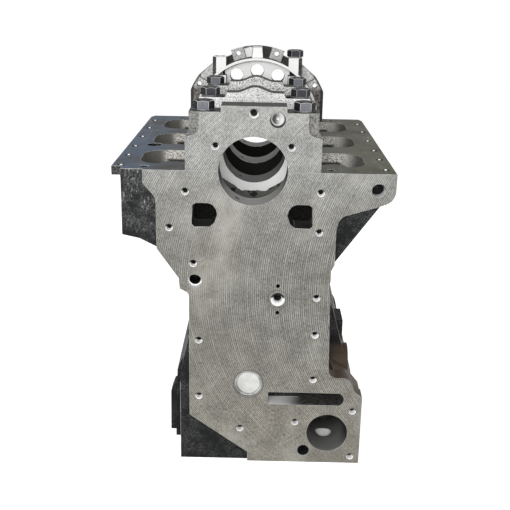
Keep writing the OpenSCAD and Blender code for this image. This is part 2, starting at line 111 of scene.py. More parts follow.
# Limits of the cored openings, in millimetres
BAY_X, BAY_Z = (-127.4, 125.4), (-120.4, -0.05)
WINDOW_X, WINDOW_Z = (37, 66), (-63, -34.5)
SLOT_X, SLOT_Z = (21, 110), (-275.5, -258.5)
FRONT_WEB_BACK = END_WEB + 0.3

# A face whose normal has at least this share along an axis is square to it, or still faces that way
SQUARE = 0.99
FACING = 0.9

# Depths behind the front face: of the face itself, and of what is cut into it
FRONT_SKIN = 0.6
GALLERY_MOUTH = 9.5
TAPPED_DEPTH = 25
IDLER_DEPTH = 26
FOLLOWER_DEPTH = 62
SLOT_DEPTH, SLOT_FRONT = 50, 30
CAP_HOLE_DEPTH = 16
DIMPLE_DEPTH = 13

# Heights down to which a hole in the sump face reaches
SUMP_HOLE_LOW = -17
DIPSTICK_LOW = -35

# The side's milled pads stand out this far
PAD_X, PAD_TOP = 147.5, -20

# The rear cap: its flange, the face of its lugs between these angles, and its middle part
FLANGE_FACE_Y, FLANGE_INNER_R = BLOCK_LENGTH - 12, 87
LUG_FACE_Y = (BLOCK_LENGTH - 15, BLOCK_LENGTH - 13)
LUG_ANGLE = 32
REAR_CAP_X = 64

# The ledge across the front of each middle cap
LEDGE_TOP, LEDGE_X, LEDGE_BACK, LEDGE_HALF = 67.5, 35, 14, 3.2

# Colours that several finishes share, both for painted shade: black deep in the crankcase, and brown-grey at
# the ends of the bays
SHADE_BLACK = (0.004, 0.004, 0.004)
BAY_END_SHADE = (0.065, 0.062, 0.052)


# Settings


def length(name, text, default):
    return FloatProperty(
        name=name, description=text, default=default, min=0.0, unit="LENGTH", subtype="DISTANCE"
    )


def colour(name, text, default):
    return FloatVectorProperty(
        name=name, description=text, default=default, size=3, min=0, max=1, subtype="COLOR"
    )


def power(name, text, default):
    return FloatProperty(name=name, description=text, default=default, unit="POWER")


class BlockSizes(bpy.types.PropertyGroup):
    edge_break: length("Edge Break", "Width of the broken edge on machined iron", 0.0004)
    cast_round: length("Cast Rounding", "Width of the rounded edge on raw castings", 0.0022)
    head_flats: length("Head Across Flats", "Hexagon of a cap bolt", 0.020)
    head_height: length("Head Height", "Height of a cap bolt's head with its washer face", 0.0105)
    washer_height: length("Washer Face", "Height of the round face under the hexagon", 0.0009)
    shank: length("Shank", "Diameter of a cap bolt's shank", 0.014)
    bolt_reach: length("Bolt Reach", "Depth of a cap bolt below the joint", 0.028)
    thread_turns: IntProperty(
        name="Thread Turns", description="Visible turns in a tapped hole", default=7, min=1
    )
    mill_pitch: length("Milling Pitch", "Distance between the cutter marks on the front face", 0.0023)


class BlockColours(bpy.types.PropertyGroup):
    milled: colour("Milled Iron", "Freshly milled faces", (0.190, 0.187, 0.168))
    raw_iron: colour("Raw Iron", "Painted outside of the casting", (0.008, 0.009, 0.009))
    bay_iron: colour("Bay Iron", "Blasted inside of the casting and the caps", (0.34, 0.33, 0.305))
    # Both sump faces are painted dark as a reflection of dark surroundings; the left one's blue is a painted
    # reflection too
    left_rail: colour("Left Rail", "Sump face on the left", (0.030, 0.054, 0.098))
    right_rail: colour("Right Rail", "Sump face on the right", (0.045, 0.045, 0.021))
    # The rear cap's bright casting, raised to near white, partly as painted light
    rear_cap: colour("Rear Cap", "Bright casting of the rear cap", (1.0, 1.0, 0.99))
    bolt: colour("Bolt", "Black oxide of the cap bolts", (0.012, 0.012, 0.014))
    plug: colour("Core Plug", "Bright pressed steel", (0.60, 0.60, 0.58))
    rust: colour("Rust", "Thin rust on the right side", (0.068, 0.049, 0.034))


class StageSettings(bpy.types.PropertyGroup):
    floor: colour("Floor", "Colour of the floor", (0.86, 0.86, 0.86))
    key_power: power("Key Power", "Lamp above the camera", 12.5)
    front_power: power("Front Power", "Lamp beside the camera", 4.5)
    top_power: power("Top Power", "Soft lamp overhead", 7.0)
    side_power: power("Side Power", "Soft lamp on each side", 4.5)
    fill: FloatProperty(
        name="Fill", description="Strength of the surroundings on rough surfaces", default=0.30
    )


def sizes():
    return bpy.context.scene.block_sizes


def colours():
    return bpy.context.scene.block_colours


# Node writing


class Nodes:
    """Writes nodes into one tree. A value is a socket, a number or a colour."""

    def __init__(self, tree):
        self.tree = tree

    def feed(self, socket, value):
        if isinstance(value, bpy.types.NodeSocket):
            self.tree.links.new(value, socket)
        else:
            socket.default_value = value

    def add(self, kind, inputs=None, **settings):
        """A node with its settings, and with its inputs fed."""
        node = self.tree.nodes.new(kind)
        for key, value in settings.items():
            setattr(node, key, value)
        for key, value in (inputs or {}).items():
            self.feed(node.inputs[key], value)
        return node

    def maths(self, operation, *values):
        return self.add("ShaderNodeMath", dict(enumerate(values)), operation=operation).outputs[0]

    def times(self, a, b):
        return self.maths("MULTIPLY", a, b)

    def plus(self, a, b):
        return self.maths("ADD", a, b)

    def less(self, a, b):
        return self.maths("SUBTRACT", a, b)

    def fuse(self, value, gain, offset):
        """The value times the gain, plus the offset."""
        return self.maths("MULTIPLY_ADD", value, gain, offset)

    def larger(self, a, b):
        return self.maths("MAXIMUM", a, b)

    def smaller(self, a, b):
        return self.maths("MINIMUM", a, b)

    def size(self, value):
        return self.maths("ABSOLUTE", value)

    def ramp(self, value, low, high):
        """0 below low, 1 above high, smooth between."""
        inputs = {"Value": value, "From Min": low, "From Max": high}
        return self.add("ShaderNodeMapRange", inputs, interpolation_type="SMOOTHSTEP").outputs["Result"]

    def mix(self, factor, a, b):
        node = self.add("ShaderNodeMix", {"Factor": factor}, data_type="RGBA")
        # Inputs 6 and 7 and output 2 are the node's colours
        for socket, value in ((node.inputs[6], a), (node.inputs[7], b)):
            self.feed(socket, value if isinstance(value, bpy.types.NodeSocket) else (*value[:3], 1.0))
        return node.outputs[2]

    def coat(self, base, mask, over, share=1.0):
        """The base with that colour over it where the mask is 1, up to the share."""
        return self.mix(mask if share == 1.0 else self.times(mask, share), base, over)

    def place(self, kind="Object"):
        return self.add("ShaderNodeTexCoord").outputs[kind]

    def xyz(self, kind="Object"):
        return self.add("ShaderNodeSeparateXYZ", {"Vector": self.place(kind)}).outputs

    def vector(self, x=0.0, y=0.0, z=0.0):
        return self.add("ShaderNodeCombineXYZ", {"X": x, "Y": y, "Z": z}).outputs[0]

    def mapped(self, where, **settings):
        inputs = {"Vector": where, **{key.title(): value for key, value in settings.items()}}
        return self.add("ShaderNodeMapping", inputs).outputs[0]

    def noise(self, scale, detail=3.0, roughness=0.6, stretch=None):
        where = self.mapped(self.place(), scale=stretch) if stretch else self.place()
        inputs = {"Vector": where, "Scale": scale, "Detail": detail, "Roughness": roughness}
        return self.add("ShaderNodeTexNoise", inputs).outputs["Fac"]

    def radius(self, axis=(0.0, 0.0)):
        """Distance from an axis that runs along Y through that [x, z] point, given in millimetres."""
        xyz = self.xyz()
        flat = self.vector(self.less(xyz["X"], axis[0] * MM), 0.0, self.less(xyz["Z"], axis[1] * MM))
        return self.add("ShaderNodeVectorMath", {0: flat}, operation="LENGTH").outputs["Value"]


# Shared effects: each draws a group from its inputs and gives its outputs by name


def milling_marks(t, given):
    """Arcs left by a wide face mill that crossed the face sideways."""
    xyz = t.xyz()
    rise = t.less(xyz["Z"], given["Cutter Height"])
    square = t.less(t.maths("POWER", given["Cutter Radius"], 2.0), t.times(rise, rise))
    track = t.plus(xyz["X"], t.maths("SQRT", t.larger(square, 0.0001)))
    phase = t.maths("DIVIDE", track, given["Pitch"])
    phase = t.plus(phase, t.times(t.noise(60.0, 2.0), given["Unevenness"]))
    wave = t.fuse(t.maths("SINE", t.times(phase, math.tau)), 0.5, 0.5)
    one_pass = {"W": phase, "Scale": 0.9, "Detail": 3.0, "Roughness": 0.7}
    strand = t.add("ShaderNodeTexNoise", one_pass, noise_dimensions="1D").outputs["Fac"]
    break_up = t.ramp(t.noise(620.0, 2.0, 0.7, (1.0, 1.0, 0.5)), 0.38, 0.62)
    deep = t.fuse(t.ramp(t.noise(45.0, 4.0, 0.65), 0.35, 0.65), 0.6, 0.42)
    marks = t.fuse(break_up, 0.22, t.times(t.times(wave, strand), deep))
    return {"Marks": marks, "Height": t.fuse(strand, 0.7, t.times(wave, 0.3))}


def cast_skin(t, given):
    """Sand-cast skin: lumps, grain and small pits."""
    lumps = t.noise(given["Lumps"], 4.0, 0.65)
    grain = t.noise(given["Grain"], 2.0, 0.7)
    cells = t.add("ShaderNodeTexVoronoi", {"Vector": t.place(), "Scale": given["Grain"]})
    pits = t.times(t.ramp(cells.outputs["Distance"], 0.45, 0.1), given["Pits"])
    height = t.fuse(lumps, 0.6, t.times(grain, 0.4))
    return {"Mottle": lumps, "Speckle": grain, "Height": t.less(height, t.times(pits, 0.3))}


def handling(t, given):
    """Scratches in two directions and broad stains from handling."""
    found = []
    for turn in (0.5, -0.9):
        drawn_out = t.mapped(t.mapped(t.place(), rotation=(turn, turn, turn)), scale=(1.0, 1.0, 40.0))
        inputs = {"Vector": drawn_out, "Scale": given["Scratch Length"], "Detail": 1.0}
        line = t.add("ShaderNodeTexNoise", inputs).outputs["Fac"]
        found.append(t.ramp(t.size(t.less(line, 0.5)), 0.012, 0.0))
    scratches = t.times(t.larger(*found), t.ramp(t.noise(14.0), 0.5, 0.7))
    return {"Scratches": scratches, "Stains": t.noise(given["Stain Size"], 5.0)}


def painted_shade(t, given):
    """Painted shade: on walls that face down in a hole, deep inside the crankcase, along the lower lip of
    each bay, and at the ends of its bays.
    """
    xyz = t.xyz()
    ceiling_shade = t.ramp(t.xyz("Normal")["Z"], given["High"], given["Low"])
    ends = t.larger(t.ramp(xyz["X"], -0.100, -0.112), t.ramp(xyz["X"], 0.108, 0.122))
    lip = t.times(t.ramp(xyz["Z"], -0.0090, -0.0122), t.ramp(t.size(xyz["X"]), 0.106, 0.100))
    uneven = t.fuse(t.noise(60.0), 0.012, xyz["Z"])
    depth = t.larger(t.ramp(uneven, -0.026, -0.052), t.times(lip, 0.93))
    return {"Ceiling": ceiling_shade, "Depth": depth, "Ends": ends}


EFFECTS = {
    "Milling Marks": (
        milling_marks,
        {"Pitch": 0.0023, "Cutter Radius": 0.255, "Cutter Height": -0.134, "Unevenness": 0.35},
    ),
    "Cast Skin": (cast_skin, {"Grain": 700.0, "Lumps": 120.0, "Pits": 0.5}),
    "Handling": (handling, {"Scratch Length": 12.0, "Stain Size": 9.0}),
    "Painted Shade": (painted_shade, {"Low": -0.3, "High": 0.4}),
}
GROUPS = {}


def effect_group(name):
    """The node group of that effect, made once."""
    if name in GROUPS:
        return GROUPS[name]
    draw, defaults = EFFECTS[name]
    group = bpy.data.node_groups.new(name, "ShaderNodeTree")
    for label, default in defaults.items():
        socket = group.interface.new_socket(label, in_out="INPUT", socket_type="NodeSocketFloat")
        socket.default_value = default
    t = Nodes(group)
    drawn = draw(t, group.nodes.new("NodeGroupInput").outputs)
    for label in drawn:
        group.interface.new_socket(label, in_out="OUTPUT", socket_type="NodeSocketFloat")
    result = group.nodes.new("NodeGroupOutput").inputs
    for label, socket in drawn.items():
        t.feed(result[label], socket)
    GROUPS[name] = group
    return group


class MaterialNodes(Nodes):
    """The nodes of a new material around its Principled shader."""

    def __init__(self, name):
        self.made = bpy.data.materials.new(name)
        self.made.use_nodes = True
        super().__init__(self.made.node_tree)
        self.shader = self.tree.nodes["Principled BSDF"]

    def effect(self, name, **inputs):
        """The outputs of a shared effect, with some of its inputs set."""
        node = self.add("ShaderNodeGroup", node_tree=effect_group(name))
        for key, value in inputs.items():
            node.inputs[key.replace("_", " ").title()].default_value = value
        return node.outputs

    def shaded_inside(self, base):
        """The base with painted shade: darker at the ends of the bays and nearly black deep in the crankcase.
        """
        inside = self.effect("Painted Shade")
        base = self.coat(base, inside["Ends"], BAY_END_SHADE, 0.85)
        return self.coat(base, inside["Depth"], SHADE_BLACK, 0.97)

    def surface(self, base, rough, relief, metallic, specular=0.5):
        """
        Links the pattern to the shader. Metallic and specular level are plain numbers on its sockets.
        rough is a pattern with its gain and offset, relief a height with the bump's strength and distance.
        """
        inputs = self.shader.inputs
        self.feed(inputs["Base Color"], base)
        self.feed(inputs["Roughness"], self.fuse(*rough))
        inputs["Metallic"].default_value = metallic
        inputs["Specular IOR Level"].default_value = specular
        bump = self.add("ShaderNodeBump", dict(zip(("Height", "Strength", "Distance"), relief)))
        self.feed(inputs["Normal"], bump.outputs["Normal"])
        return self.made


# Materials


def shade(tint, factor):
    return tuple(min(1.0, c * factor) for c in tint)


def grey(value):
    return (value, value, value)


def milled_iron(name, tint, marks_strength):
    """Milled faces: cutter marks, stains and smudges, warmer low down and brighter high up."""
    t = MaterialNodes(name)
    marks = t.effect("Milling Marks", pitch=sizes().mill_pitch)
    handled = t.effect("Handling", scratch_length=10.0, stain_size=8.0)
    height = t.xyz()["Z"]
    lines = t.times(marks["Marks"], marks_strength)
    warm = (1.18 * tint[0], 1.14 * tint[1], 1.08 * tint[2])
    foot = t.ramp(height, -0.16, -0.30)
    dark = t.mix(foot, shade(tint, 0.26), shade(warm, 0.26))
    light = t.mix(foot, shade(tint, 2.2), shade(warm, 2.2))
    high = t.mix(lines, (0.090, 0.092, 0.088), (0.595, 0.60, 0.585))
    base = t.coat(t.mix(lines, dark, light), t.ramp(height, -0.12, 0.06), high, 0.85)
    stain = (tint[0] * 0.72, tint[1] * 0.67, tint[2] * 0.58)
    base = t.coat(base, t.ramp(handled["Stains"], 0.42, 0.68), stain, 0.35)
    base = t.coat(base, t.ramp(t.noise(13.0, 5.0), 0.50, 0.72), shade(tint, 2.1), 0.45)
    for axis, radius in SCRIBED_RINGS:
        off_ring = t.size(t.less(t.radius(axis), radius * MM))
        base = t.coat(base, t.ramp(off_ring, 0.0007, 0.0003), shade(tint, 0.3), 0.75)
    base = t.coat(base, handled["Scratches"], shade(tint, 2.0), 0.5)
    return t.surface(base, (marks["Marks"], -0.12, 0.46), (marks["Height"], 0.35, 0.0003), 0.4)


def cast_iron(name, dark, light, grain, lumps, bump, specular=0.4, rust=None, deep=False, spots=None):
    """
    Sand-cast iron of two shades. Its light spots lie in clumps unless their limits are given. Where rust is
    given, it gathers low on the right side. Deep iron gets painted shade inside the crankcase.
    """
    t = MaterialNodes(name)
    skin = t.effect("Cast Skin", grain=grain, lumps=lumps)
    handled = t.effect("Handling", scratch_length=16.0, stain_size=11.0)
    speckle = t.ramp(skin["Speckle"], *(spots or (0.40, 0.62)))
    if not spots:
        speckle = t.times(speckle, t.ramp(skin["Mottle"], 0.36, 0.6))
    base = t.mix(speckle, dark, light)
    base = t.coat(base, t.ramp(handled["Stains"], 0.5, 0.72), shade(dark, 1.6), 0.4)
    if rust:
        base = weathered(t, base, skin["Mottle"], handled["Stains"], rust)
    if deep:
        base = t.shaded_inside(base)
    return t.surface(base, (skin["Mottle"], 0.25, 0.45), (skin["Height"], bump, 0.0009), 0.15, specular)


def weathered(t, base, mottle, stains, rust):
    """Chalky dust high on the left, a darker skirt below it, and rust low on the right."""
    xyz = t.xyz()
    chalk = t.ramp(t.noise(420.0, 4.0, 0.75, (1.0, 1.0, 0.3)), 0.53, 0.66)
    chalk = t.times(chalk, t.ramp(mottle, 0.40, 0.60))
    dusty = t.times(t.ramp(xyz["X"], -0.095, -0.105), t.ramp(xyz["Z"], -0.105, -0.030))
    base = t.coat(base, t.times(chalk, dusty), (0.34, 0.35, 0.34), 0.8)
    base = t.coat(base, t.ramp(xyz["Z"], -0.045, -0.085), grey(0.003), 0.35)
    side = t.times(t.ramp(xyz["X"], 0.080, 0.100), t.ramp(xyz["Z"], -0.216, -0.230))
    return t.coat(base, t.times(side, t.ramp(stains, 0.30, 0.50)), rust, 0.92)


def web_face(name):
    """Front faces of the bearing webs, with painted shade around their bores. The second has a machined boss
    around its bore, painted near white, partly as painted light.
    """
    t = MaterialNodes(name)
    skin = t.effect("Cast Skin", grain=700.0, lumps=150.0)
    xyz = t.xyz()
    tint = colours().bay_iron
    base = t.mix(t.ramp(skin["Speckle"], 0.38, 0.58), shade(tint, 0.6), shade(tint, 2.5))
    base = t.shaded_inside(base)
    around = t.ramp(t.radius(), 0.062, 0.058)
    # Painted shade around the bore of every web
    base = t.coat(base, around, (0.010, 0.010, 0.009), 0.95)
    # The boss, painted near white partly as painted light, is cut off square below the bore and slanting
    # beside it
    slant = t.fuse(t.size(xyz["X"]), -0.625, 0.0558)
    inside = t.smaller(t.plus(xyz["Z"], slant), t.plus(xyz["Z"], 0.047))
    boss = t.ramp(t.plus(inside, t.fuse(t.noise(130.0), 0.004, -0.002)), -0.0003, 0.0003)
    stained = t.ramp(t.noise(75.0, 2.0), 0.54, 0.60)
    skirt = t.mix(stained, (0.14, 0.14, 0.13), (0.030, 0.030, 0.028))
    second = t.times(t.ramp(xyz["Y"], 0.125, 0.120), t.ramp(xyz["Y"], 0.060, 0.065))
    base = t.coat(base, t.times(around, second), t.mix(boss, skirt, (0.97, 0.97, 0.96)))
    return t.surface(base, (skin["Mottle"], 0.2, 0.5), (skin["Height"], 0.15, 0.0006), 0.0, 0.08)


def sump_face(name):
    """Ground top faces, painted dark as a reflection of dark surroundings: blue-grey on the left, from a
    painted bluish reflection, brown on the right, streaked and scratched by handling.
    """
    t = MaterialNodes(name)
    c = colours()
    across = t.xyz()["X"]
    handled = t.effect("Handling", scratch_length=14.0, stain_size=12.0)
    base = t.mix(t.ramp(across, -0.03, 0.03), c.left_rail, c.right_rail)
    base = t.coat(base, t.ramp(t.size(across), 0.125, 0.095), (0.030, 0.031, 0.029), 0.7)
    base = t.coat(base, t.ramp(handled["Stains"], 0.45, 0.7), shade(c.right_rail, 0.55))
    streaks = t.noise(60.0, 4.0, 0.65, (1.0, 0.12, 1.0))
    base = t.coat(base, t.ramp(streaks, 0.48, 0.30), (0.012, 0.012, 0.011), 0.6)
    base = t.coat(base, t.ramp(streaks, 0.56, 0.74), (0.19, 0.19, 0.165), 0.5)
    base = t.coat(base, handled["Scratches"], (0.30, 0.28, 0.25), 0.6)
    fine = t.noise(900.0, 2.0, 0.6, (1.0, 0.1, 1.0))
    return t.surface(base, (handled["Stains"], 0.3, 0.35), (fine, 0.2, 0.0002), 0.15, 0.12)


def bored_iron(name):
    """Bored surfaces: fine turning rings, with painted shade towards the top and behind the front web."""
    t = MaterialNodes(name)
    rings = t.noise(500.0, 2.0, 0.6, (0.05, 3.0, 0.05))
    handled = t.effect("Handling", scratch_length=10.0, stain_size=22.0)
    base = t.mix(t.ramp(rings, 0.35, 0.65), (0.255, 0.255, 0.242), (0.34, 0.34, 0.325))
    # Painted shade farther into the bore, behind the front web, then on all but the bottom of the bore
    base = t.coat(base, t.ramp(t.xyz()["Y"], 0.03, 0.10), grey(0.022), 0.85)
    ceiling_shade = t.effect("Painted Shade", low=0.1, high=0.85)["Ceiling"]
    base = t.coat(base, ceiling_shade, (0.016, 0.016, 0.015), 0.93)
    return t.surface(base, (handled["Stains"], 0.2, 0.4), (rings, 0.2, 0.0002), 0.5, 0.3)


def hole_shade(t):
    """Mask of painted shade in a tapped hole: 0 at the mouth and 1 farther in. In the ear's and the gallery's
    hole it starts deeper in.
    """
    xyz = t.xyz()
    inward = t.smaller(xyz["Y"], t.less(BLOCK_LENGTH * MM, xyz["Y"]))
    wide = t.larger(t.ramp(xyz["X"], 0.1255, 0.1265), t.ramp(t.radius(GALLERY_AXIS), 0.0100, 0.0090))
    inward = t.times(inward, t.fuse(wide, -0.5, 1.0))
    upright = t.ramp(t.size(t.plus(xyz["Z"], 0.0085)), 0.0105, 0.0095)
    upright = t.times(upright, t.ramp(xyz["Y"], 0.0105, 0.0112))
    level = t.times(t.ramp(inward, 0.0058, 0.0092), t.less(1.0, upright))
    # A hole in the sump flange gets painted shade, but for a painted glint in the middle of its chamfer
    aside = t.size(xyz["X"])
    rails = t.times(t.ramp(xyz["Y"], 0.0165, 0.0170), t.ramp(aside, 0.138, 0.140))
    off_middle = t.ramp(t.size(t.less(aside, SUMP_HOLE_X * MM)), 0.0010, 0.0016)
    chamfer_shade = t.larger(off_middle, t.ramp(xyz["Z"], -0.0008, -0.0013))
    return t.larger(level, t.times(t.times(upright, rails), chamfer_shade))


def plain_metal(name, dark, light, roughness, metallic, specular=0.5, hole=False):
    """Small steel parts: two close shades, worn and stained by a fine pattern. A hole gets painted shade
    above and farther in.
    """
    t = MaterialNodes(name)
    handled = t.effect("Handling", scratch_length=60.0, stain_size=60.0)
    fine = t.noise(500.0)
    base = t.mix(t.ramp(handled["Stains"], 0.4, 0.65), dark, light)
    base = t.coat(base, handled["Scratches"], shade(light, 1.4), 0.4)
    if hole:
        ceiling_shade = t.effect("Painted Shade", low=-0.3, high=0.02)["Ceiling"]
        base = t.coat(base, t.larger(ceiling_shade, hole_shade(t)), grey(0.005), 0.97)
    return t.surface(base, (fine, 0.25, roughness), (fine, 0.15, 0.0002), metallic, specular)


def flange_iron(name):
    """The rear seal flange: light outside the posts, brownish below its lugs, with a dark gritty rim."""
    t = MaterialNodes(name)
    skin = t.effect("Cast Skin", grain=600.0, lumps=200.0)
    xyz = t.xyz()
    aside = t.size(xyz["X"])
    base = t.mix(t.ramp(skin["Speckle"], 0.35, 0.65), (0.42, 0.42, 0.41), (0.85, 0.85, 0.84))
    low = t.mix(t.ramp(skin["Mottle"], 0.4, 0.6), (0.07, 0.06, 0.05), (0.30, 0.28, 0.26))
    base = t.coat(base, t.ramp(xyz["Z"], 0.050, 0.040), low)
    # Between the posts the flange gets painted shade, but for the stretch to the left of the middle tab,
    # which gets painted light
    lit = t.times(t.ramp(xyz["X"], 0.001, -0.001), t.ramp(xyz["X"], -0.027, -0.025))
    top = t.mix(lit, (0.030, 0.030, 0.029), (0.95, 0.95, 0.94))
    base = t.coat(base, t.ramp(aside, 0.046, 0.044), top)
    ragged = t.fuse(skin["Mottle"], 0.006, t.radius())
    rim = t.larger(t.ramp(ragged, 0.1035, 0.1055), t.ramp(aside, 0.0905, 0.0925))
    base = t.coat(base, rim, (0.025, 0.025, 0.024), 0.9)
    return t.surface(base, (skin["Mottle"], 0.2, 0.5), (skin["Height"], 0.4, 0.0009), 0.1, 0.3)


def dimple_iron(name):
    """The centre drilling in the front cap: painted shade on its left side, a painted highlight on its right
    side and at its centre, a light ring near its edge and a dark line at its rim.
    """
    t = MaterialNodes(name)
    radius = t.radius(DIMPLE_AXIS)
    across = t.less(t.xyz()["X"], DIMPLE_AXIS[0] * MM)
    base = t.mix(t.ramp(across, -0.004, 0.005), grey(0.10), (0.85, 0.85, 0.84))
    base = t.coat(base, t.ramp(radius, 0.0018, 0.0010), (1.0, 1.0, 0.99))
    base = t.coat(base, t.ramp(radius, 0.0056, 0.0062), (0.75, 0.75, 0.74))
    base = t.coat(base, t.ramp(radius, 0.0068, 0.0073), grey(0.03))
    fine = t.noise(500.0)
    return t.surface(base, (fine, 0.2, 0.4), (fine, 0.1, 0.0002), 0.2, 0.3)


def slot_wall(name):
    """The cored slot: painted light at its shallow left end, painted shade to the right."""
    t = MaterialNodes(name)
    uneven = t.fuse(t.noise(70.0), 0.012, t.xyz()["X"])
    dark = t.mix(t.ramp(t.noise(300.0), 0.4, 0.6), (0.030, 0.029, 0.027), (0.100, 0.098, 0.092))
    base = t.mix(t.ramp(uneven, 0.040, 0.070), (0.90, 0.90, 0.89), dark)
    fine = t.noise(500.0)
    return t.surface(base, (fine, 0.2, 0.4), (fine, 0.2, 0.0004), 0.1, 0.3)


def black_oxide(name):
    """Black bolts, with a painted bluish sheen on the flats that face the front."""
    t = MaterialNodes(name)
    tint = colours().bolt
    handled = t.effect("Handling", scratch_length=60.0, stain_size=60.0)
    fine = t.noise(700.0)
    front_sheen = t.times(t.ramp(t.xyz("Normal")["Y"], -0.94, -0.97), t.ramp(fine, 0.0, 0.56))
    # The painted sheen is weaker on the bolts of the second and the rear cap
    along = t.xyz()["Y"]
    second = t.ramp(t.size(t.less(along, MAIN_Y[1] * MM)), 0.020, 0.016)
    dull_bolts = t.larger(second, t.ramp(along, 0.29, 0.30))
    base = t.mix(t.ramp(handled["Stains"], 0.4, 0.65), shade(tint, 0.5), shade(tint, 1.5))
    base = t.coat(base, t.times(front_sheen, t.fuse(dull_bolts, -0.75, 1.0)), (0.19, 0.195, 0.22))
    base = t.coat(base, handled["Scratches"], (0.25, 0.25, 0.27), 0.5)
    return t.surface(base, (fine, 0.2, 0.5), (fine, 0.15, 0.0002), 0.0, 0.12)


OWN_KIND = [web_face, flange_iron, slot_wall, dimple_iron, sump_face, bored_iron, black_oxide]


def milled_kinds(c):
    """Tint and strength of the marks."""
    return {"milled_iron": (c.milled, 1.0), "ground_iron": (shade(c.milled, 0.75), 0.5)}


def cast_kinds(c):
    """Dark and light shade, scale of the grain and of the lumps, bump, and what else sets it apart."""
    return {
        "raw_iron": (
            c.raw_iron, (0.085, 0.087, 0.085), 640.0, 60.0, 0.6, {"rust": c.rust, "specular": 0.15}
        ),
        "bay_iron": (
            shade(c.bay_iron, 0.7), shade(c.bay_iron, 1.7), 900.0, 300.0, 0.5,
            {"deep": True, "spots": (0.3, 0.55)},
        ),
        # The caps' fronts, sides and tops are one cast iron, painted light at the front and dark on the sides
        # and tops as painted light and shade
        "cap_front": (grey(0.10), (0.95, 0.95, 0.94), 900.0, 300.0, 0.5, {"spots": (0.36, 0.50)}),
        "third_front": (grey(0.07), (0.80, 0.80, 0.79), 900.0, 300.0, 0.5, {"spots": (0.385, 0.54)}),
        "cap_side": (
            (0.040, 0.040, 0.038), (0.24, 0.235, 0.22), 800.0, 300.0, 0.5, {"spots": (0.35, 0.58)}
        ),
        "lug_iron": (grey(0.20), (0.62, 0.62, 0.61), 700.0, 300.0, 0.5, {"spots": (0.30, 0.60)}),
        "cap_top": (grey(0.012), (0.040, 0.039, 0.037), 500.0, 160.0, 0.35, {"specular": 0.1}),
        # The rear cap's casting is near white, partly as painted light; its sides are dark as painted shade
        "rear_cap": (shade(c.rear_cap, 0.95), c.rear_cap, 700.0, 60.0, 0.10, {}),
        "rear_cap_side": (grey(0.020), (0.10, 0.10, 0.095), 500.0, 120.0, 0.4, {"specular": 0.2}),
    }


def metal_kinds(c):
    """Dark and light shade, least roughness, metallic, and what else sets it apart."""
    return {
        # Bright cut iron in the holes, painted near white, partly as painted light
        "bright_thread": ((0.85, 0.85, 0.84), (1.0, 1.0, 0.99), 0.5, 0.1, {"specular": 0.1, "hole": True}),
        "bright_hole": ((0.72, 0.72, 0.71), (0.95, 0.95, 0.94), 0.4, 0.1, {}),
        "worn_edge": ((0.22, 0.22, 0.21), (0.46, 0.46, 0.45), 0.4, 0.3, {}),
        "pressed_steel": (shade(c.plug, 0.8), c.plug, 0.3, 0.4, {}),
        "honed_liner": (grey(0.20), (0.32, 0.32, 0.31), 0.25, 0.8, {}),
        "dowel_steel": ((0.45, 0.45, 0.44), (0.7, 0.7, 0.69), 0.25, 0.85, {}),
        "plug_black": ((0.03, 0.03, 0.032), grey(0.07), 0.4, 0.4, {}),
    }


def make_material(name):
    c = colours()
    for own in OWN_KIND:
        if own.__name__ == name:
            return own(name)
    milled = milled_kinds(c)
    if name in milled:
        return milled_iron(name, *milled[name])
    for make, kinds in ((cast_iron, cast_kinds(c)), (plain_metal, metal_kinds(c))):
        if name in kinds:
            *values, others = kinds[name]
            return make(name, *values, **others)
    raise ValueError(f"no finish is called {name}")


MATERIALS = {}


def finish(name):
    """The material of that name, made once."""
    if name not in MATERIALS:
        MATERIALS[name] = make_material(name)
    return MATERIALS[name]


# Mesh helpers


def solid_copy(node):
    """A merged copy of a CAD node's mesh, with its flat faces whole again."""
    bm = bmesh.new()
    bm.from_mesh(CAD[node].data)
    bmesh.ops.remove_doubles(bm, verts=bm.verts, dist=2e-6)
    bmesh.ops.dissolve_limit(bm, angle_limit=math.radians(0.5), verts=bm.verts, edges=bm.edges)
    return bm


def sharp_edges(bm, degrees=25):
    limit = math.radians(degrees)
    return [e for e in bm.edges if e.is_manifold and e.calc_face_angle(0) > limit]


def break_edges(bm, edges, width, segments=2):
    """Bevels the edges, and returns the faces that this makes. No corner may leave the old surface."""
    before = BVHTree.FromBMesh(bm)
    box = [(min(v.co[k] for v in bm.verts), max(v.co[k] for v in bm.verts)) for k in range(3)]
    made = bmesh.ops.bevel(
        bm, geom=edges, offset=width, offset_type="OFFSET", segments=segments, profile=0.5, affect="EDGES",
        clamp_overlap=False,
    )
    for vert in made["verts"]:
        spot, _, _, gap = before.find_nearest(vert.co)
        if gap > width * 0.8:
            vert.co = spot
        for k, (low, high) in enumerate(box):
            vert.co[k] = min(max(vert.co[k], low), high)
    return made["faces"]


def smooth(bm, sharp_from=32):
    """Shades the mesh smooth but for its edges of at least that many degrees."""
    for face in bm.faces:
        face.smooth = True
    for edge in bm.edges:
        edge.smooth = not edge.is_manifold or edge.calc_face_angle(0) < math.radians(sharp_from)


def settle_normals(piece):
    """Weights the normals by face area, so that flat faces stay flat beside their broken edges."""
    piece.modifiers.new("weights", "WEIGHTED_NORMAL").keep_sharp = True
    evaluated = piece.evaluated_get(bpy.context.evaluated_depsgraph_get())
    settled = bpy.data.meshes.new_from_object(evaluated)
    piece.modifiers.clear()
    settled.name = piece.name
    piece.data = settled
    return piece


def link(name, data):
    """A new object in the scene."""
    made = bpy.data.objects.new(name, data)
    bpy.context.scene.collection.objects.link(made)
    return made


def publish(bm, name, slots, sharp_from=32):
    """Makes the mesh a piece with those materials."""
    mesh = bpy.data.meshes.new(name)
    bmesh.ops.recalc_face_normals(bm, faces=bm.faces)
    smooth(bm, sharp_from)
    bm.to_mesh(mesh)
    bm.free()
    for slot in slots:
        mesh.materials.append(finish(slot))
    return settle_normals(link(name, mesh))


